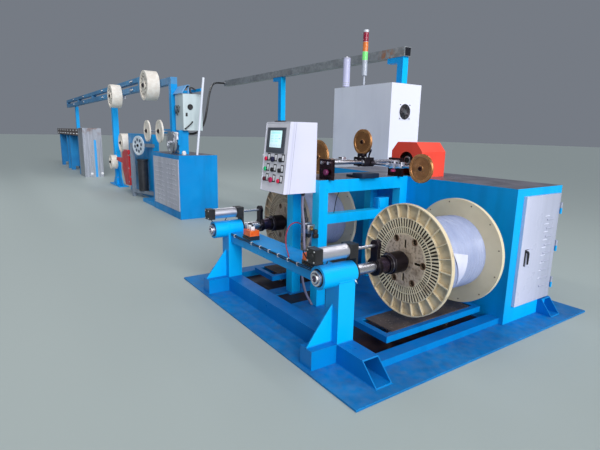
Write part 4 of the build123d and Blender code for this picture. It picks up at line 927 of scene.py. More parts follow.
carriage_parts.append(rounded_block((-0.070, -0.130, 1.107), (-0.006, -0.090, 1.136), 0.004))
front_boss = [(0, 0), (0.017, 0), (0.0185, 0.002), (0.0185, 0.012), (0.016, 0.014), (0, 0.014)]
carriage_parts.append(turned(front_boss, (-0.012, -0.155, 1.058), (0, -1, 0), 28))
piece("carriage_clamps", carriage_parts, blackened, "traverse")
piece("carriage_bolts", bright_parts, bolt_steel, "traverse")
arm_collar = [(0, 0), (0.016, 0), (0.016, 0.01), (0.012, 0.012), (0.012, 0.05), (0.016, 0.052),
              (0.016, 0.062), (0, 0.062)]
arm_blocks = [rounded_block((0.236, -0.103, 1.046), (0.290, -0.056, 1.100), 0.004),
              rounded_block((0.300, -0.098, 1.050), (0.352, -0.060, 1.092), 0.004),
              rounded_block((-0.330, -0.100, 1.048), (-0.285, -0.060, 1.094), 0.004),
              turned(arm_collar, (0.196, arm_y, arm_z), (1, 0, 0), 28)]
piece("arm_clamp_blocks", arm_blocks, aluminium, "traverse")
arm_screws = []
for x, face_y in ((0.250, -0.103), (0.276, -0.103), (0.312, -0.098), (0.340, -0.098), (-0.318, -0.100),
                  (-0.297, -0.100)):
    arm_screws.append(turned(socket, (x, face_y, 1.088), (0, -1, 0), 14))
piece("arm_clamp_screws", arm_screws, black_steel, "traverse")
knob_pink = moulded("knob_pink", (0.55, 0.045, 0.16, 1), 0.35, 0.15)
knob = [(0, 0), (0.006, 0), (0.006, 0.008), (0.0165, 0.010), (0.0175, 0.014), (0.0175, 0.022),
        (0.015, 0.026), (0, 0.027)]
piece("arm_lock_knob", [turned(knob, (0.262, arm_y, 1.0465), (0, 0, -1), 24)], knob_pink,
      "traverse")
knob_maroon = moulded("knob_maroon", (0.16, 0.022, 0.085, 1), 0.35, 0.15)
stand_knob = [(0, -0.001), (0.008, -0.001), (0.008, 0.010), (0.020, 0.012), (0.021, 0.016), (0.021, 0.026),
              (0.018, 0.030), (0, 0.031)]
piece("stand_lock_knob", [turned(stand_knob, (0.010, stand_ys[0][0], 1.008), (0, -1, 0), 24)], knob_maroon)
cap_line = [(0, -0.001), (0.0105, -0.001), (0.0122, 0.002), (0.0122, 0.014), (0.009, 0.016), (0, 0.016)]
rod_caps = [turned(cap_line, (x, stand_ys[0][0], guide_axis_z), (0, -1, 0), 24) for x in guide_axis_xs]
piece("rod_end_caps", rod_caps, chrome)

# Guide pulleys: turned bronze with a raised rim round a dished web, lighter along its edges from polish by
# the cable and painted highlight, and brown in the dish. A washer and nut hold each on its axle, painted
# near black as the shade of the hub's hole.
bronze, tree, shader = finish_of("pulley_bronze", 0.3, metal=0.85)
bronze_tone = tint(tree, rise(tree, mottle(tree, 16, 5), 0.35, 0.7), (0.58, 0.28, 0.105, 1),
                   (0.38, 0.165, 0.062, 1))
web_y = -0.1165
in_dish = is_over(tree, height(tree, "Y"), web_y)
bronze_tone = tint(tree, times(tree, in_dish, 0.45), bronze_tone, (0.20, 0.080, 0.032, 1))
bronze_edges, bronze_eased = rubbed_edges(tree, 0.003)
# Painted highlight, with polish from the cable: the edges in a bright bronze.
bronze_tone = tint(tree, bronze_edges, bronze_tone, (0.80, 0.45, 0.20, 1))
tree.links.new(bronze_tone, shader.inputs["Base Color"])
tree.links.new(rise(tree, mottle(tree, 45, 5), 0.3, 0.7, 0.22, 0.46), shader.inputs["Roughness"])
emboss(tree, shader, 0.1, 0.0006, mottle(tree, 90, 3), bronze_eased)
dress(bronze, "pulley_top", "pulley_near", "pulley_far")
# Painted shade: the hub nuts near black, for the dark hole in each hub.
hub_hole_shade = moulded("hub_hole_shade", (0.045, 0.016, 0.012, 1), 0.6, 0.1)
hub_nut = [(0, 0.002), (0.0085, 0.002), (0.0085, 0.0045), (0.0145, 0.005), (0.0165, 0.003), (0.0165, 0),
           (0, 0)]
for name, x, z in (("pulley_top", -0.038, 1.220), ("pulley_near", 0.539, 1.064),
                   ("pulley_far", -0.600, 1.074)):
    hub_face_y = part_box(name)[0].y
    piece(name + "_nut", [turned(hub_nut, (x, hub_face_y + 0.0005, z), (0, -1, 0), 28)], hub_hole_shade,
          name)

# Shaft guard: folded sheet in orange-red enamel over the reel drive shaft. Behind its arch turns a
# dark rubber-covered wheel with grey rings.
guard_red = painted("guard_orange", (0.96, 0.092, 0.058, 1), (0.88, 0.066, 0.044, 1), (0.98, 0.30, 0.20, 1),
                    0.34, 0.12)
dress(guard_red, "shaft_guard")
wheel_x, wheel_z = -0.040, 1.075
guard_front_y = 0.350
drum_outline = [(0, 0.040), (0.020, 0.040), (0.022, 0.030), (0.052, 0.026), (0.056, 0.034), (0.060, 0.034),
                (0.064, 0.026), (0.066, 0.0), (0.060, -0.05), (0, -0.05)]
inner_wheel = turned(drum_outline, (wheel_x, guard_front_y + 0.070, wheel_z), (0, -1, 0), 44)
piece("guard_inner_wheel", [inner_wheel], black_plastic)
shaft_rings = [(0.0225, 0.0), (0.034, 0.0005), (0.036, 0.003), (0.034, 0.0055), (0.0225, 0.006), (0.0225, 0)]
inner_rings = turned(shaft_rings, (wheel_x, guard_front_y + 0.043, wheel_z), (0, -1, 0), 36)
piece("guard_inner_rings", [inner_rings], aluminium)

# Control box: folded sheet, powder coated pale on the body and mid grey on the sloping front. A
# seam runs down the side behind the front, and a folded lip frames the front.
box_low, box_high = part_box("control_box")
face_bottom_y, face_top_y = -0.815, -0.762
face_angle = math.atan2(face_top_y - face_bottom_y, box_high.z - box_low.z)


def face_point(x, z, out=0.0):
    """Point on the sloping front, raised out of it."""
    y = face_bottom_y + (z - box_low.z) * math.tan(face_angle)
    return (x, y - out * math.cos(face_angle), z + out * math.sin(face_angle))


face_x, face_up = (1, 0, 0), (0, math.sin(face_angle), math.cos(face_angle))
face_out = (0, -math.cos(face_angle), math.sin(face_angle))


def grey_front(tree, colour):
    """Mid grey where the face looks forward, and dark lines at the side's seams."""
    forward_face = rise(tree, facing(tree, "Y"), -0.9, -0.7, 1, 0)
    grey = tint(tree, rise(tree, mottle(tree, 9, 5), 0.35, 0.7), (0.80, 0.79, 0.86, 1),
                (0.70, 0.69, 0.77, 1))
    colour = tint(tree, forward_face, colour, grey)
    slope = times(tree, reckon(tree, "SUBTRACT", height(tree), box_low.z), -math.tan(face_angle))
    back = reckon(tree, "ADD", reckon(tree, "SUBTRACT", height(tree, "Y"), face_bottom_y), slope)
    for place, width, dark in ((0.046, 0.0022, 0.55), (0.030, 0.010, 0.12)):
        off = off_from(tree, back, place)
        line = rise(tree, off, 0.4 * width, width, dark, 0)
        colour = tint(tree, line, colour, (0.10, 0.10, 0.15, 1))
    return colour


box_coat = painted("box_powder", (0.76, 0.75, 0.90, 1), (0.70, 0.70, 0.86, 1), (0.88, 0.88, 0.96, 1), 0.38,
                   0.05, 0.003, grey_front)
dress(box_coat, "control_box")
lip_in, lip_r, lip_out = 0.004, 0.0032, 0.0005
lip_xs, lip_zs = (box_low.x + lip_in, box_high.x - lip_in), (box_low.z + lip_in, box_high.z - lip_in)
lips = [swept([face_point(x, z, lip_out) for z in np.linspace(*lip_zs, 12)], lip_r, 8, (0, 1, 0))
        for x in lip_xs]
lips += [swept([face_point(x, z, lip_out) for x in np.linspace(*lip_xs, 12)], lip_r, 8) for z in lip_zs]
piece("box_front_lip", lips, box_coat)
gland_line = [(0, 0), (0.016, 0), (0.016, 0.010), (0.010, 0.012), (0.010, 0.030), (0, 0.030)]
box_clip = rounded_block((-0.290, -0.735, box_high.z - 0.001), (-0.180, -0.705, box_high.z + 0.011), 0.003)
box_gland = turned(gland_line, (box_low.x, -0.760, 1.150), (-1, 0, 0), 20)
piece("box_gland_and_clip", [box_clip, box_gland], black_plastic)
white_knob = [(0, 0), (0.010, 0), (0.0105, 0.003), (0.0105, 0.020), (0.009, 0.022), (0, 0.022)]
piece("box_side_knob", [turned(white_knob, (box_low.x, -0.780, 1.110), (-1, 0, 0), 20)], white_plastic)

# Operator screen: a moulded dark bezel clamped into the front, its glass showing a pale page of
# fields with plain bars and no lettering.
screen_x, screen_z = -0.198, 1.224
bezel_half_w = (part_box("hmi_screen")[1].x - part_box("hmi_screen")[0].x) / 2
bezel_half_h, bezel_out = 0.088, 0.006
glass_low = (-0.082, -0.050)
glass_high = (0.078, 0.068)
screen_frame = (face_point(screen_x, screen_z), face_x, face_up, face_out)
rows_of_rim = [((-bezel_half_w, -bezel_half_h), (bezel_half_w, glass_low[1])),
               ((-bezel_half_w, glass_high[1]), (bezel_half_w, bezel_half_h)),
               ((-bezel_half_w, glass_low[1]), (glass_low[0], glass_high[1])),
               ((glass_high[0], glass_low[1]), (bezel_half_w, glass_high[1]))]
rim_surfaces = [rounded_block((*low, 0), (*high, bezel_out), 0.0012, 2, screen_frame)
                for low, high in rows_of_rim]
bezel_dark = moulded("bezel_dark", (0.075, 0.085, 0.108, 1), 0.42, 0.12)
bezel = piece("screen_bezel", rim_surfaces, bezel_dark)
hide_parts("hmi_screen")
glass, tree, shader = finish_of("screen_page", 0.16, coat=0.6)
origin = Vector(face_point(screen_x, screen_z))
across = reckon(tree, "SUBTRACT", height(tree, "X"), origin.x)
upward = reckon(tree, "DIVIDE", reckon(tree, "SUBTRACT", height(tree), origin.z), math.cos(face_angle))


def page_bar(tree, colour, x, z, half_w, half_h, tone):
    """A plain bar on the page."""
    off_x = reckon(tree, "SUBTRACT", off_from(tree, across, x), half_w)
    off_z = reckon(tree, "SUBTRACT", off_from(tree, upward, z), half_h)
    return tint(tree, is_under(tree, reckon(tree, "MAXIMUM", off_x, off_z), 0.0), colour, tone)


page = tint(tree, rise(tree, upward, -0.05, 0.065), (0.72, 0.93, 1.0, 1), (0.60, 0.97, 0.97, 1))
page = page_bar(tree, page, -0.004, 0.052, 0.060, 0.006, (0.42, 0.85, 0.86, 1))
for column_x in (-0.052, 0.006):
    for row_z in (0.030, 0.012, -0.006):
        page = page_bar(tree, page, column_x, row_z, 0.020, 0.0045, (0.50, 0.88, 0.90, 1))
page = page_bar(tree, page, 0.048, 0.012, 0.014, 0.0025, (0.30, 0.36, 0.60, 1))
for column_x in (-0.055, -0.018, 0.019, 0.056):
    page = page_bar(tree, page, column_x, -0.034, 0.014, 0.006, (0.62, 0.80, 0.92, 1))
tree.links.new(page, shader.inputs["Base Color"])
tree.links.new(page, shader.inputs["Emission Color"])
shader.inputs["Emission Strength"].default_value = 0.55
emboss(tree, shader, 0.02, 0.0005, mottle(tree, 90, 2))
pane = rounded_block((glass_low[0], glass_low[1], 0), (glass_high[0], glass_high[1], 0.0035), 0.001, 2,
                     screen_frame)
piece("screen_glass", [pane], glass)

# Push buttons: nine 22 mm operators in three rows, each a black collar with a coloured cap that
# stands proud, and a small blank plate beside it. Two have broader, taller caps.
button_rows, button_columns = (1.092, 1.020, 0.948), (-0.295, -0.200, -0.105)
cap_colours = {"red": (0.80, 0.018, 0.080, 1), "navy": (0.012, 0.012, 0.055, 1),
               "black": (0.008, 0.008, 0.010, 1), "green": (0.010, 0.55, 0.19, 1),
               "maroon": (0.10, 0.004, 0.020, 1), "crimson": (0.46, 0.010, 0.085, 1)}
cap_layout = (("red", "navy", "black"), ("green", "black", "black"), ("maroon", "crimson", "red"))
collar_line = [(0.0085, 0.004), (0.0115, 0.0085), (0.0135, 0.0085), (0.0150, 0.006), (0.0150, 0), (0, 0),
               (0.0085, 0.004)]
collars, plates, plate_rims = [], [], []
caps = {name: [] for name in cap_colours}
for z, names in zip(button_rows, cap_layout):
    for x, colour_name in zip(button_columns, names):
        foot = face_point(x, z)
        collars.append(turned(collar_line, foot, face_out, 28))
        wide, tall = (0.0190, 0.0235) if colour_name in ("navy", "crimson") else (0.0158, 0.018)
        cap = [(0, 0.003), (0.0085, 0.003), (0.0085, 0.010), (wide, 0.0115), (wide, tall - 0.003),
               (wide - 0.0025, tall - 0.0005), (0, tall)]
        caps[colour_name].append(turned(cap, foot, face_out, 28))
        plate_frame = (face_point(x + 0.022, z + 0.014), face_x, face_up, face_out)
        plate_rims.append(rounded_block((-0.0178, -0.0265, 0), (0.0178, 0.0265, 0.0018), 0.0008, 2,
                                        plate_frame))
        plates.append(rounded_block((-0.0105, -0.0185, 0.0010), (0.0105, 0.0185, 0.0034), 0.0006, 2,
                                    plate_frame))
buttons = piece("button_collars", collars, black_plastic)
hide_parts("control_buttons")
piece("button_plate_rims", plate_rims, black_plastic)
plate_white = moulded("plate_white", (0.93, 0.94, 0.99, 1), 0.3, 0.05)
piece("button_plates", plates, plate_white)
for colour_name, surfaces in caps.items():
    piece("button_caps_" + colour_name, surfaces,
          moulded("cap_" + colour_name, cap_colours[colour_name], 0.26, 0.06))

# Air filter and regulator beside the table's front leg: a die-cast body with two dark bowls below,
# a lift-and-turn knob and a pressure dial, and brass fittings at its ends.
cast_grey = metal("diecast_grey", (0.46, 0.46, 0.50, 1), 0.42, dark=0.4)
brass = metal("brass", (0.62, 0.40, 0.13, 1), 0.3, dark=0.4)
unit_y = -0.585
unit_low, unit_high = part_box("valve_manifold")
unit_body = [rounded_block((unit_low.x, unit_y - 0.028, unit_low.z),
                           (unit_low.x + 0.038, unit_high.y, unit_high.z), 0.005),
             rounded_block((unit_low.x + 0.042, unit_y - 0.025, unit_low.z + 0.006),
                           (unit_high.x, unit_high.y, unit_high.z - 0.008), 0.005),
             rounded_block((unit_low.x + 0.030, unit_y - 0.014, unit_low.z + 0.022),
                           (unit_low.x + 0.052, unit_y + 0.02, unit_low.z + 0.060), 0.003)]
unit = piece("air_unit_body", unit_body, cast_grey)
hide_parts("valve_manifold")
bowl = [(0, 0), (0.0165, 0), (0.0175, -0.004), (0.0170, -0.020), (0.0135, -0.028), (0.006, -0.031),
        (0.006, -0.036), (0, -0.036)]
knob_line = [(0, 0), (0.0125, 0), (0.0125, 0.004), (0.0165, 0.006), (0.0172, 0.010), (0.0172, 0.030),
             (0.0155, 0.034), (0, 0.036)]
dark_parts = [turned(bowl, (unit_low.x + 0.019, unit_y, unit_low.z + 0.002), (0, 0, 1), 28),
              turned(bowl, (unit_low.x + 0.061, unit_y, unit_low.z + 0.008), (0, 0, 1), 28),
              turned(knob_line, (unit_low.x + 0.019, unit_y, unit_high.z - 0.001), (0, 0, 1), 28)]
piece("air_unit_bowls", dark_parts, black_plastic)
dial_centre = (-0.057, unit_y - 0.036, 0.612)
dial_rim = [(0, -0.012), (0.017, -0.012), (0.0185, -0.008), (0.0185, 0.003), (0.0170, 0.004),
            (0.0160, 0.002), (0.0160, 0.0), (0, 0.0)]
piece("pressure_dial_rim", [turned(dial_rim, dial_centre, (0, -1, 0), 32)], black_plastic)
dial_face, tree, shader = finish_of("dial_face", 0.2, coat=0.5)
dial_spot = whereabouts(tree, (1, 0, 1), (-dial_centre[0], 0, -dial_centre[2]))
dial_out = wire(tree, "VectorMath", {0: dial_spot}, operation="LENGTH").outputs["Value"]
dial_axes = wire(tree, "SeparateXYZ", {0: dial_spot}).outputs
around = reckon(tree, "ARCTAN2", dial_axes["X"], dial_axes["Z"])
strokes = reckon(tree, "COSINE", times(tree, around, 20.0), 0.0)
in_band = times(tree, rise(tree, dial_out, 0.0105, 0.0110), rise(tree, dial_out, 0.0145, 0.0140))
ink = times(tree, in_band, is_over(tree, strokes, 0.6))
needle = is_under(tree, off_from(tree, around, 0.8), 0.09)
needle = times(tree, needle, is_under(tree, dial_out, 0.013))
dial_tone = tint(tree, reckon(tree, "MAXIMUM", ink, needle), (0.80, 0.81, 0.84, 1), (0.02, 0.02, 0.02, 1))
tree.links.new(dial_tone, shader.inputs["Base Color"])
dial_plate = [(0, 0), (0.0158, 0), (0.0158, 0.0009), (0.0150, 0.0012), (0, 0.0012)]
piece("pressure_dial", [turned(dial_plate, dial_centre, (0, -1, 0), 32)], dial_face)
outlet = [(0, 0), (0.0085, 0), (0.0085, 0.012), (0.0115, 0.012), (0.0115, 0.024), (0.0075, 0.025),
          (0.0075, 0.032), (0, 0.032)]
branch = [(0, 0), (0.007, 0), (0.007, 0.010), (0.010, 0.011), (0.010, 0.020), (0, 0.020)]
inlet = [(0, 0), (0.0075, 0), (0.0075, 0.010), (0.0095, 0.011), (0.0095, 0.018), (0, 0.018)]
brass_fittings = [turned(outlet, (unit_high.x - 0.001, unit_y, 0.600), (1, 0, 0), 6),
                  turned(branch, (unit_high.x + 0.018, unit_y, 0.606), (0, 0, 1), 6),
                  turned(inlet, (unit_low.x, unit_y, 0.612), (-1, 0, 0), 6)]
piece("air_unit_brass", brass_fittings, brass)
switch_knob = turned(knob_line, (0.028, -0.580, 0.572), (0, 0, 1), 24)
switch_body = rounded_block((0.0145, -0.600, 0.545), (0.042, -0.560, 0.575), 0.004)
piece("air_switch", [switch_knob, switch_body], black_plastic)

# Hanging tubes and cables round the table: the red air tube from the filter to the tie, the grey
# cable tail from its gland under the control box, and a thin black cable inside the frame.
air_red = [(-0.122, -0.585, 0.612), (-0.150, -0.586, 0.618), (-0.196, -0.600, 0.624),
           (-0.192, -0.650, 0.610), (-0.150, -0.700, 0.588), (-0.096, -0.750, 0.563),
           (-0.014, -0.805, 0.536), (0.085, -0.860, 0.515), (0.160, -0.894, 0.503), (0.205, -0.920, 0.4985)]
tube_red = moulded("air_tube_red", (0.42, 0.035, 0.075, 1), 0.33)
cord("air_tube_to_tie", air_red, 0.0042, tube_red)
conduit_grey = moulded("conduit_grey", (0.20, 0.19, 0.27, 1), 0.45, 0.3)
box_tail = [(-0.052, -0.640, 0.862), (-0.054, -0.640, 0.835), (-0.060, -0.638, 0.770),
            (-0.054, -0.636, 0.710), (-0.034, -0.640, 0.655), (-0.018, -0.646, 0.590),
            (-0.014, -0.650, 0.525), (-0.002, -0.650, 0.470), (-0.022, -0.645, 0.420),
            (-0.046, -0.640, 0.330), (-0.055, -0.630, 0.220), (-0.050, -0.600, 0.110),
            (-0.040, -0.570, 0.050), (-0.035, -0.550, 0.013)]
cord("box_cable_tail", box_tail, 0.0095, conduit_grey)
tail_gland = [(0, 0), (0.017, 0), (0.017, 0.010), (0.013, 0.012), (0.013, 0.020), (0, 0.020)]
piece("box_tail_gland", [turned(tail_gland, (-0.052, -0.640, 0.8635), (0, 0, -1), 6)], black_plastic)
rail_cable = [(-0.025, -0.324, 0.866), (-0.025, -0.338, 0.850), (-0.024, -0.356, 0.810),
              (-0.025, -0.366, 0.760), (-0.026, -0.372, 0.715), (-0.026, -0.376, 0.703)]
cord("rail_cable", rail_cable, 0.0035, tube_black)

# Electrical cabinet: folded sheet in pale grey enamel, with a filter fan in its downstream end: a
# square plate with four screws and a grille of concentric wires over a dark well.


def shaded_end(tree, colour):
    """Painted shade: the downstream end, which faces the sun, in a slightly greyer tone than the front."""
    end = rise(tree, facing(tree, "X"), 0.6, 0.8)
    return tint(tree, end, colour, (0.78, 0.79, 0.92, 1))


cabinet_enamel = painted("cabinet_enamel", (0.86, 0.89, 1.0, 1), (0.79, 0.82, 0.94, 1),
                         (0.90, 0.92, 1.0, 1), 0.36, 0.10, patch=shaded_end)
dress(cabinet_enamel, "electrical_cabinet")
cabinet_end_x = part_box("electrical_cabinet")[1].x
fan_y, fan_z, fan_r, plate_half, grille_x = 1.410, 1.528, 0.078, 0.088, cabinet_end_x + 0.0085
fan_centre = (cabinet_end_x, fan_y, fan_z)
fan_plate = rounded_block((cabinet_end_x - 0.001, fan_y - plate_half, fan_z - plate_half),
                          (cabinet_end_x + 0.0025, fan_y + plate_half, fan_z + plate_half), 0.001)
fan_rings = []
for r in np.linspace(0.016, fan_r, 8):
    wire_loop = [(r - 0.0013, 0.009), (r, 0.0104), (r + 0.0013, 0.009), (r, 0.0076), (r - 0.0013, 0.009)]
    fan_rings.append(turned(wire_loop, fan_centre, (1, 0, 0), 48))
for t in np.arange(8) * math.pi / 4 + 0.2:
    ends = [(grille_x, fan_y + r * math.cos(t), fan_z + r * math.sin(t)) for r in (0.014, fan_r)]
    fan_rings.append(swept(ends, 0.0012, 6, (1, 0, 0)))
well_line = [(0, 0.0030), (fan_r + 0.004, 0.0030), (fan_r + 0.006, 0.0050), (fan_r + 0.006, 0.0), (0, 0.0)]
fan_well = turned(well_line, fan_centre, (1, 0, 0), 48)
fan_hub = turned([(0, 0.003), (0.026, 0.003), (0.028, 0.0058), (0, 0.0068)], fan_centre, (1, 0, 0), 32)
fan_grey = moulded("fan_grey", (0.10, 0.11, 0.125, 1), 0.45)
piece("fan_plate", [fan_plate], cabinet_enamel)
piece("fan_well", [fan_well], black_plastic)
piece("fan_hub", [fan_hub], fan_grey)
piece("fan_grille", fan_rings, dull_steel)
dished_head = [(0, 0.0022), (0.004, 0.0022), (0.0055, 0.0045), (0.0068, 0.0028), (0.0068, 0), (0, 0)]
fan_screws = [turned(dished_head, (cabinet_end_x + 0.002, fan_y + dy, fan_z + dz), (1, 0, 0), 16)
              for dy in (-0.074, 0.074) for dz in (-0.074, 0.074)]
piece("fan_screws", fan_screws, black_steel)

# Signal lamps on the electrical cabinet: translucent coloured lenses stacked on a pale body, with
# a black joint ring between each pair, and one separate pale lamp with a bright knob.
tower_x, tower_y, lamp_x, lamp_y = -1.650, 1.325, -1.984, 1.330
lens_mix, tree, shader = finish_of("signal_lenses", 0.18, coat=0.5)
level = height(tree)
lens_tone = tint(tree, rise(tree, mottle(tree, 40, 3), 0.3, 0.7), (0.50, 0.53, 0.60, 1),
                 (0.40, 0.43, 0.50, 1))
glow = tint(tree, 0.0, (0, 0, 0, 1), (0, 0, 0, 1))
lenses = ((2.132, (0.16, 0.62, 0.17, 1), 0.9), (2.227, (0.74, 0.20, 0.045, 1), 0.15),
          (2.335, (0.30, 0.010, 0.040, 1), 0.08), (2.440, (0.66, 0.69, 0.76, 1), 0.0))
for start_z, tone, shine in lenses:
    above = is_over(tree, level, start_z)
    lens_tone = tint(tree, above, lens_tone, tone)
    glow = tint(tree, above, glow, tuple(shine * v for v in tone[:3]) + (1,))
is_lamp = is_under(tree, height(tree, "X"), (tower_x + lamp_x) / 2)
lens_tone = tint(tree, is_lamp, lens_tone, (0.62, 0.62, 0.84, 1))
glow = tint(tree, is_lamp, glow, (0.02, 0.02, 0.05, 1))
tree.links.new(lens_tone, shader.inputs["Base Color"])
tree.links.new(glow, shader.inputs["Emission Color"])
shader.inputs["Emission Strength"].default_value = 0.5
flutes = wire(tree, "TexWave", {"Vector": whereabouts(tree), "Scale": 90.0}, bands_direction="Z").outputs[0]
emboss(tree, shader, 0.25, 0.0008, flutes)
dress(lens_mix, "stack_light")
tower_ring = [(0.0310, 0), (0.0328, 0.0008), (0.0328, 0.0042), (0.0310, 0.005), (0.0310, 0)]
lamp_ring = [(0.0430, 0), (0.0455, 0.001), (0.0455, 0.005), (0.0430, 0.006), (0.0430, 0)]
joint_rings = [turned(tower_ring, (tower_x, tower_y, z - 0.0025), (0, 0, 1), 32)
               for z in (2.130, 2.226, 2.334, 2.441)]
joint_rings += [turned(lamp_ring, (lamp_x, lamp_y, z), (0, 0, 1), 36) for z in (1.874, 1.896, 2.186)]
piece("lamp_joint_rings", joint_rings, grey_plastic)
foot_line = [(0, 0), (0.034, 0), (0.035, 0.003), (0.030, 0.008), (0.013, 0.011), (0, 0.011)]
lamp_feet = [turned(foot_line, (x, y, 1.827), (0, 0, 1), 32)
             for x, y in ((tower_x, tower_y), (lamp_x, lamp_y))]
piece("lamp_feet", lamp_feet, black_plastic)
top_knob = [(0, 0), (0.012, 0), (0.016, 0.004), (0.016, 0.012), (0.010, 0.018), (0, 0.020)]
piece("lamp_top_knob", [turned(top_knob, (lamp_x, lamp_y, 2.196), (0, 0, 1), 24)], aluminium)

# Overhead cable trunking: galvanised folded steel, open at its near end where the lips of the channel show
# round an inside painted near black as shade. Water has rusted one seam near the end.
galvanised, tree, shader = finish_of("galvanised", 0.5, metal=0.6)
spangle = wire(tree, "TexVoronoi", {"Vector": whereabouts(tree), "Scale": 28.0}).outputs["Color"]
zinc_grey = wire(tree, "SeparateXYZ", {0: spangle}).outputs["X"]
zinc_tone = tint(tree, zinc_grey, (0.27, 0.29, 0.31, 1), (0.42, 0.44, 0.46, 1))
zinc_tone = tint(tree, rise(tree, mottle(tree, 4, 5), 0.45, 0.75, 0, 0.5), zinc_tone, (0.14, 0.145, 0.16, 1))
rust_spot = whereabouts(tree, shift=(1.62, -1.65, -2.19))
rust_centre = wire(tree, "VectorMath", {0: rust_spot}, operation="LENGTH").outputs["Value"]
rust_patch = times(tree, rise(tree, rust_centre, 0.16, 0.03), rise(tree, mottle(tree, 30, 5), 0.42, 0.60))
zinc_tone = tint(tree, rust_patch, zinc_tone, (0.46, 0.17, 0.055, 1))
trunk_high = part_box("trunking")[1]
trunk_wide, wall = 0.105, 0.006
# Painted shade: the inside of the open channel near black.
inside = 1.0
for place, edge in ((height(tree, "Y"), trunk_high.y), (height(tree), trunk_high.z)):
    start, end = edge - trunk_wide + wall, edge - wall
    inside = times(tree, inside, is_over(tree, place, start))
    inside = times(tree, inside, is_under(tree, place, end))
zinc_tone = tint(tree, inside, zinc_tone, (0.022, 0.022, 0.030, 1))
tree.links.new(zinc_tone, shader.inputs["Base Color"])
tree.links.new(rise(tree, zinc_grey, 0, 1, 0.40, 0.60), shader.inputs["Roughness"])
emboss(tree, shader, 0.12, 0.0010, mottle(tree, 50, 3), rubbed_edges(tree, 0.002)[1])
dress(galvanised, "trunking")
joint_xs, trunk_front_y = np.arange(-1.9, -6.2, -0.6), trunk_high.y - trunk_wide
seam_bands = [rounded_block((x - 0.004, trunk_front_y - 0.0015, trunk_high.z - 0.104),
                            (x + 0.004, trunk_front_y + 0.0005, trunk_high.z + 0.0015), 0.0008)
              for x in joint_xs]
round_head = [(0, 0), (0.006, 0), (0.005, 0.003), (0, 0.0038)]
trunk_screws = [turned(round_head, (x - 0.02, trunk_front_y, trunk_high.z - 0.030), (0, -1, 0), 12)
                for x in joint_xs]
piece("trunking_joint_bands", seam_bands, galvanised)
piece("trunking_screws", trunk_screws, bolt_steel)
dress(painted("post_blue", bright_blue, deep_blue, chip_blue, 0.36, 0.3, lit_side_tone=lit_side_blue),
      "trunking_posts")

# Haul-off: a blue welded cabinet and column. Its front panel is pale pressed steel with rows of
# wavy louvres; a white lagged tube leans from the cabinet top up to the overhead arm.
hauloff_bright, hauloff_deep = (0.0, 0.26, 0.64, 1), (0.0, 0.215, 0.57, 1)
dress(painted("hauloff_blue", hauloff_bright, hauloff_deep, chip_blue, 0.38, 0.3,
              patch=sheet_topped(0.9245)), "hauloff_cabinet")
lean_x, lean_y, lean_z, lean_slope, lean_r = -3.830, 0.075, 0.925, 0.11336, 0.0185


def white_tube(tree, colour):
    """White where a point lies on the leaning tube."""
    axes = wire(tree, "SeparateXYZ", {0: whereabouts(tree, shift=(-lean_x, -lean_y, -lean_z))}).outputs
    aside = reckon(tree, "SUBTRACT", axes["Y"], times(tree, axes["Z"], lean_slope))
    squares = reckon(tree, "ADD", times(tree, axes["X"], axes["X"]), times(tree, aside, aside))
    out = reckon(tree, "SQRT", squares, 0.0)
    return tint(tree, is_under(tree, out, lean_r), colour, (0.72, 0.75, 0.84, 1))


hauloff_blue = painted("hauloff_frame_blue", (0.0, 0.31, 0.72, 1), (0.0, 0.25, 0.62, 1), chip_blue, 0.36,
                       0.3, patch=white_tube)
dress(hauloff_blue, "hauloff_frame")
panel_grey = painted("panel_grey", (0.53, 0.54, 0.62, 1), (0.45, 0.46, 0.54, 1), (0.70, 0.72, 0.78, 1), 0.4,
                     0.3)
dress(panel_grey, "hauloff_panel")
panel_low, panel_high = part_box("hauloff_panel")
waves = []
for z in np.linspace(0.20, 0.78, 9):
    for x0, x1 in ((-4.82, -4.36), (-4.25, -3.79)):
        along = np.linspace(x0, x1, 60)
        crest = z + 0.007 * np.sin(2 * math.pi * (along - x0) / 0.115)
        fade = np.clip(np.minimum(along - x0, x1 - along) / 0.02, 0.02, 1)
        waves.append(swept(np.c_[along, panel_low.y + 0 * along, crest], 0.0055 * fade, 8))
piece("panel_louvres", waves, panel_grey)
panel_screws = []
for x in (panel_low.x + 0.03, (panel_low.x + panel_high.x) / 2, panel_high.x - 0.03):
    for z in (panel_low.z + 0.03, panel_high.z - 0.03):
        panel_screws += hex_bolt((x, panel_low.y, z), (0, -1, 0), 0.012, 0.006)
piece("panel_screws", panel_screws, bolt_steel)
column_x0, column_x1, column_y0, column_y1, column_foot_z = -4.160, -4.070, -0.110, 0.040, 0.926
column_bolts = []
for x in (column_x0 + 0.015, column_x1 - 0.015):
    for z in (0.960, 1.225):
        column_bolts += hex_bolt((x, column_y0, z), (0, -1, 0), 0.018, 0.010)
piece("column_bolts", column_bolts, bolt_steel)
column_beads = foot_weld(column_x0, column_x1, column_y0, column_y1, column_foot_z)
for x, z in ((-4.470, 1.290), (-4.370, 1.835)):
    column_beads.append(weld_bead((x, -0.100, z), (x, 0.0, z), 0.006))
piece("column_welds", column_beads, hauloff_blue)
small_cylinder = [(0, 0), (0.016, 0), (0.018, 0.004), (0.018, 0.030), (0.015, 0.034), (0.015, 0.082),
                  (0.018, 0.086), (0.018, 0.108), (0.012, 0.114), (0, 0.116)]
small_cylinders = [turned(small_cylinder, (x, -0.127, 1.134), (0, 0, 1), 24) for x in (-4.165, -4.090)]
piece("column_air_cylinders", small_cylinders, white_plastic)
lamp_line = [(0, 0), (0.030, 0), (0.032, 0.004), (0.030, 0.040), (0.022, 0.046), (0.022, 0.056), (0, 0.058)]
piece("cabinet_top_lamp", [turned(lamp_line, (-3.868, -0.110, 0.9255), (0, 0, 1), 24)], white_plastic)

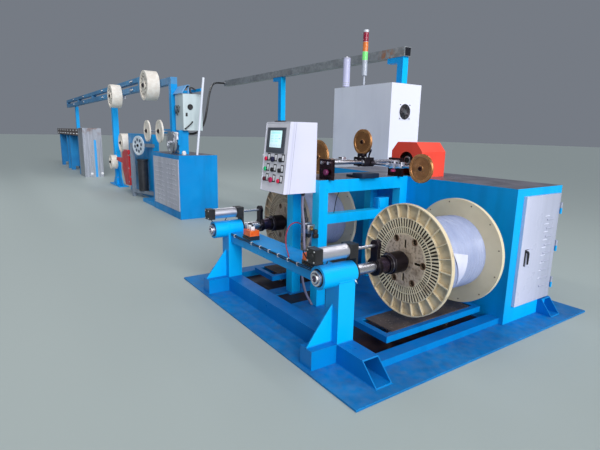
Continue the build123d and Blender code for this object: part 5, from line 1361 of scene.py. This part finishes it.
# Spark tester box on the column: pale grey folded sheet with a sloping blue hood on two posts, a
# dial and a black bar handle on its downstream end, and test leads curled over its front.
tester_grey = painted("tester_grey", (0.60, 0.69, 0.71, 1), (0.51, 0.60, 0.62, 1), (0.74, 0.80, 0.82, 1),
                      0.38, 0.25)
dress(tester_grey, "tester_box")
tester_low, tester_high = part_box("tester_box")
hood_outline = np.array([(-0.020, 0.004), (-0.020, 0.012), (0.060, 0.125), (0.110, 0.125), (0.110, 0.117),
                         (0.064, 0.117), (-0.008, 0.006)])
hood_x = np.array([tester_low.x - 0.030, tester_low.x - 0.030, tester_high.x + 0.010, tester_high.x + 0.010])
hood = np.zeros((4, len(hood_outline), 3))
hood[..., 0] = hood_x[:, None]
hood[..., 1] = tester_low.y + hood_outline[None, :, 0]
hood[..., 2] = tester_high.z + hood_outline[None, :, 1]
hood[[0, -1]] = hood[[0, -1]].mean(axis=1, keepdims=True)
hood[0, :, 0], hood[-1, :, 0] = hood_x[0], hood_x[-1]
hood_blue = painted("hood_blue", (0.22, 0.48, 0.80, 1), (0.16, 0.38, 0.70, 1), (0.5, 0.7, 0.9, 1), 0.38, 0.2)
piece("tester_hood", [(hood.reshape(-1, 3), skin(4, len(hood_outline)))], hood_blue, crease=20)
hood_posts = [rounded_block((x - 0.006, tester_low.y + 0.090, tester_high.z - 0.001),
                            (x + 0.006, tester_low.y + 0.108, tester_high.z + 0.119), 0.002)
              for x in (tester_low.x + 0.04, tester_high.x - 0.04)]
piece("tester_hood_posts", hood_posts, hood_blue)
hood_hose = [(-4.020, 0.148, 1.862), (-4.020, 0.134, 1.868), (-4.026, 0.104, 1.896), (-4.036, 0.070, 1.890),
             (-4.030, 0.068, 1.850), (-4.022, 0.082, 1.820), (-4.020, 0.088, 1.801)]
cord("tester_hood_hose", hood_hose, 0.0110, tube_black)
dial = [(0, 0), (0.038, 0), (0.040, 0.004), (0.040, 0.016), (0.036, 0.020), (0.033, 0.018), (0.033, 0.012),
        (0, 0.012)]
handle_line = smooth_line([(tester_high.x, -0.036, 1.300), (tester_high.x + 0.030, -0.032, 1.306),
                           (tester_high.x + 0.034, 0.020, 1.350), (tester_high.x + 0.030, 0.071, 1.396),
                           (tester_high.x, 0.075, 1.400)], 6)
tester_dark = [turned(dial, (tester_high.x, 0.051, 1.615), (1, 0, 0), 36),
               swept(handle_line, 0.0095, 10, (1, 0, 0)),
               rounded_block((tester_high.x - 0.001, -0.020, 1.480), (tester_high.x + 0.006, 0.010, 1.530),
                             0.002)]
piece("tester_dial_and_handle", tester_dark, black_plastic)
for k, (x, reach) in enumerate(((-4.300, 0.115), (-4.240, 0.150), (-4.175, 0.090))):
    lead = [(x, tester_low.y, 1.640), (x - 0.004, tester_low.y - 0.018, 1.632),
            (x + 0.010, tester_low.y - 0.024, 1.585), (x + 0.030, tester_low.y - 0.022, 1.640 - reach),
            (x + 0.055, tester_low.y - 0.022, 1.560 - 0.4 * reach),
            (x + 0.050, tester_low.y - 0.018, 1.610), (x + 0.045, tester_low.y, 1.620)]
    cord("tester_lead_%d" % k, lead, 0.0045, tube_black)

# Corrugated conduit: black ribbed plastic tube from the trunking down to the back of the haul-off
# column, screwed into a gland at each end and hanging in one long curve between them.
ribbed, tree, shader = finish_of("ribbed_conduit", 0.38)
ring_wave = wire(tree, "TexWave", {"Vector": whereabouts(tree), "Scale": 34.0},
                 bands_direction="DIAGONAL").outputs[0]
tree.links.new(tint(tree, ring_wave, (0.005, 0.005, 0.006, 1), (0.012, 0.012, 0.014, 1)),
               shader.inputs["Base Color"])
emboss(tree, shader, 0.3, 0.003, ring_wave)
conduit_route = [(-6.2, 1.6275, 2.2295), (-6.185, 1.525, 2.226), (-6.092, 1.392, 2.212),
                 (-5.86, 1.22, 2.15), (-5.48, 1.01, 2.006), (-5.17, 0.845, 1.855), (-4.91, 0.712, 1.702),
                 (-4.73, 0.616, 1.6), (-4.59, 0.537, 1.489), (-4.475, 0.458, 1.39), (-4.38, 0.373, 1.313),
                 (-4.3, 0.284, 1.258), (-4.228, 0.199, 1.23), (-4.17, 0.125, 1.223), (-4.128, 0.056, 1.229)]
conduit = cord("conduit_hose", conduit_route, 0.0175, ribbed, 2.89)
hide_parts("conduit")

# Wheels of the haul-off and the accumulator: cast nylon, cream with age, each held on its axle by
# a blackened nut. The capstan is ground steel on a chromed hub, and the dancer's wheel greyer nylon.
cream = moulded("cream_nylon", (0.72, 0.66, 0.59, 1), 0.42, 0.5, 200)
light_grey = moulded("light_nylon", (0.55, 0.62, 0.70, 1), 0.42, 0.4, 200)
dress(cream, "hauloff_wheel_left", "hauloff_wheel_right", "storage_drum_near", "storage_drum_far",
      "guide_roller_upper", "guide_roller_lower")
dress(light_grey, "dancer_wheel")
ground_steel = metal("ground_steel", (0.50, 0.52, 0.57, 1), 0.34, (1, 40, 1), 0.15)
dress(ground_steel, "capstan_wheel")
hub_line = [(0, 0), (0.034, 0), (0.036, 0.003), (0.036, 0.012), (0.032, 0.015), (0.021, 0.016),
            (0.021, 0.026), (0.019, 0.028), (0, 0.028)]
drum_hole = [(0, 0.0002), (0.0125, 0.0002), (0.0145, 0.0016), (0.0155, 0.0), (0, -0.002)]
for name in ("hauloff_wheel_left", "hauloff_wheel_right", "capstan_wheel", "guide_roller_upper",
             "guide_roller_lower", "storage_drum_near", "storage_drum_far"):
    steel = chrome if name == "capstan_wheel" else blackened
    low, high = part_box(name)
    centre = ((low.x + high.x) / 2, low.y - 0.001, (low.z + high.z) / 2)
    surfaces = [turned(hub_line, centre, (0, -1, 0), 6 if steel is blackened else 28)]
    hole_ring_r = 0.60 * (high.x - low.x) / 2
    # Dark discs on the storage drums are painted shade for their holes.
    if name.startswith("storage_drum"):
        for t in np.arange(12) * math.pi / 6 + 0.15:
            spot = (centre[0] + hole_ring_r * math.cos(t), low.y - 0.0003,
                    centre[2] + hole_ring_r * math.sin(t))
            surfaces.append(turned(drum_hole, spot, (0, -1, 0), 16))
    piece(name + "_hub", surfaces, steel, name)

# Dancer unit: a grey welded stand with a black flanged drum, a nylon wheel with dark discs of painted shade
# for the windows round its hub, and a belt drive behind a bolted red guard of bent sheet.
dress(painted("stand_grey", (0.24, 0.29, 0.36, 1), (0.17, 0.21, 0.27, 1), (0.45, 0.5, 0.56, 1), 0.42, 0.4),
      "dancer_frame")
dress(moulded("drum_black", (0.020, 0.021, 0.026, 1), 0.42, 0.3), "dancer_drum")
dress(painted("belt_red", (0.64, 0.030, 0.040, 1), (0.42, 0.016, 0.026, 1), (0.85, 0.25, 0.22, 1), 0.36,
              0.2), "belt_guard")
guard_low, guard_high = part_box("belt_guard")
guard_bolts = []
for x in (guard_low.x + 0.05, guard_high.x - 0.05):
    for z in (guard_low.z + 0.08, (guard_low.z + guard_high.z) / 2, guard_high.z - 0.10):
        guard_bolts += hex_bolt((x, guard_low.y, z), (0, -1, 0), 0.016, 0.008)
piece("belt_guard_bolts", guard_bolts, bolt_steel)
dancer_low, dancer_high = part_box("dancer_wheel")
dancer_centre = tuple((dancer_low[k] + dancer_high[k]) / 2 for k in range(3))
lean = math.radians(17)
dancer_out = (math.sin(lean), -math.cos(lean), 0)
dancer_hub = [(0, 0.013), (0.030, 0.013), (0.030, 0.020), (0.018, 0.022), (0.018, 0.032), (0, 0.032)]
piece("dancer_wheel_hub", [turned(dancer_hub, dancer_centre, dancer_out, 6)], blackened,
      "dancer_wheel")
window_shade = moulded("wheel_window_dark", (0.09, 0.12, 0.17, 1), 0.6)
window_line = [(0, 0), (0.026, 0), (0.028, 0.002), (0.030, 0.002), (0.030, 0.0005), (0, 0.0002)]
window_ring_r, window_out = 0.105, 0.0065
dancer_across, straight_up = np.array((math.cos(lean), math.sin(lean), 0)), np.array((0, 0, 1))
window_plane = np.array(dancer_centre) + window_out * np.array(dancer_out)
wheel_windows = []
for t in np.radians(np.arange(8) * 45 + 10):
    spot = window_plane + window_ring_r * (math.cos(t) * dancer_across + math.sin(t) * straight_up)
    wheel_windows.append(turned(window_line, spot, dancer_out, 20))
piece("dancer_wheel_windows", wheel_windows, window_shade, "dancer_wheel")

# Accumulator: two long chalky blue rails on bright blue posts, with slots and joint bolts along
# them, and the splice plates where the rail lengths meet.
rail_blue = painted("rail_blue", (0.070, 0.27, 0.52, 1), (0.050, 0.19, 0.39, 1), (0.33, 0.50, 0.68, 1), 0.5,
                    0.5)


def post_bright(tree, colour):
    """Posts keep the bright enamel below the rails."""
    return tint(tree, is_under(tree, height(tree), 1.958), colour, bright_blue)


dress(painted("accumulator_blue", (0.085, 0.30, 0.56, 1), (0.06, 0.21, 0.42, 1), (0.33, 0.50, 0.68, 1),
              0.46, 0.45, patch=post_bright), "accumulator_frame")
rail_y = -0.100
splices, splice_bolts = [], []
for x in (-6.60, -9.30, -11.90, -13.70):
    for z0, z1 in ((1.972, 2.048), (2.131, 2.189)):
        splices.append(rounded_block((x - 0.11, rail_y - 0.007, z0), (x + 0.11, rail_y + 0.001, z1), 0.002))
        for dx in (-0.08, -0.03, 0.03, 0.08):
            splice_bolts += hex_bolt((x + dx, rail_y - 0.006, (z0 + z1) / 2), (0, -1, 0), 0.019, 0.011)
piece("rail_splices", splices, rail_blue)
piece("rail_splice_bolts", splice_bolts, bolt_steel)

# Cooling trough: a brushed stainless head tank with a blue stripe down its end, and open channels
# brown with scale on painted legs, with white nylon drain taps and caps.
stainless, tree, shader = finish_of("brushed_stainless", 0.32, metal=0.9)
stripe_y, stripe_half = -0.140, 0.028
brushing = mottle(tree, 30, 4, (1, 1, 0.03))
steel_tone = tint(tree, rise(tree, brushing, 0.35, 0.68), (0.58, 0.60, 0.66, 1), (0.26, 0.28, 0.33, 1))
stain = times(tree, rise(tree, height(tree), 1.05, 1.27), rise(tree, mottle(tree, 8, 5), 0.45, 0.62))
steel_tone = tint(tree, times(tree, stain, 0.7), steel_tone, (0.20, 0.095, 0.055, 1))
off_stripe = off_from(tree, height(tree, "Y"), stripe_y)
on_stripe = times(tree, is_under(tree, off_stripe, stripe_half), rise(tree, facing(tree, "X"), 0.6, 0.8))
on_stripe = times(tree, on_stripe, is_under(tree, height(tree), 0.975))
steel_tone = tint(tree, on_stripe, steel_tone, (0.03, 0.33, 0.75, 1))
tree.links.new(steel_tone, shader.inputs["Base Color"])
tree.links.new(rise(tree, brushing, 0.3, 0.7, 0.24, 0.44), shader.inputs["Roughness"])
tree.links.new(rise(tree, on_stripe, 0, 1, 0.9, 0.0), shader.inputs["Metallic"])
emboss(tree, shader, 0.12, 0.001, brushing, rubbed_edges(tree, 0.003)[1])
dress(stainless, "trough_head")
dress(painted("scaled_channel", (0.115, 0.085, 0.080, 1), (0.060, 0.048, 0.052, 1), (0.34, 0.33, 0.34, 1),
              0.55, 0.6), "trough_bays")
dress(painted("trough_leg_blue", (0.012, 0.22, 0.52, 1), (0.008, 0.14, 0.38, 1), chip_blue, 0.42, 0.4),
      "trough_legs")
head_low, head_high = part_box("trough_head")
bay_low, bay_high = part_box("trough_bays")
drain_tap = [(0, 0), (0.014, 0), (0.014, 0.006), (0.009, 0.008), (0.009, 0.020), (0.012, 0.022),
             (0.012, 0.03), (0, 0.03)]
drain_cap = [(0, 0), (0.030, 0), (0.033, 0.006), (0.033, 0.018), (0.022, 0.024), (0.022, 0.034), (0, 0.034)]
edge_clips = []
for x in np.arange(bay_low.x + 0.30, bay_high.x, 0.55):
    edge_clips.append(rounded_block((x - 0.05, bay_low.y - 0.004, bay_high.z - 0.060),
                                    (x + 0.05, bay_low.y + 0.001, bay_high.z - 0.018), 0.0015))
    edge_clips.append(turned(drain_tap, (x + 0.14, bay_low.y, bay_low.z + 0.05), (0, -1, 0), 20))
piece("trough_fittings", edge_clips, white_plastic)
drain_caps = [turned(drain_cap, (head_high.x - 0.001, y, 0.090), (1, 0, 0), 20)
              for y in (head_low.y + 0.165, head_high.y - 0.036)]
piece("trough_drain_caps", drain_caps, white_plastic)
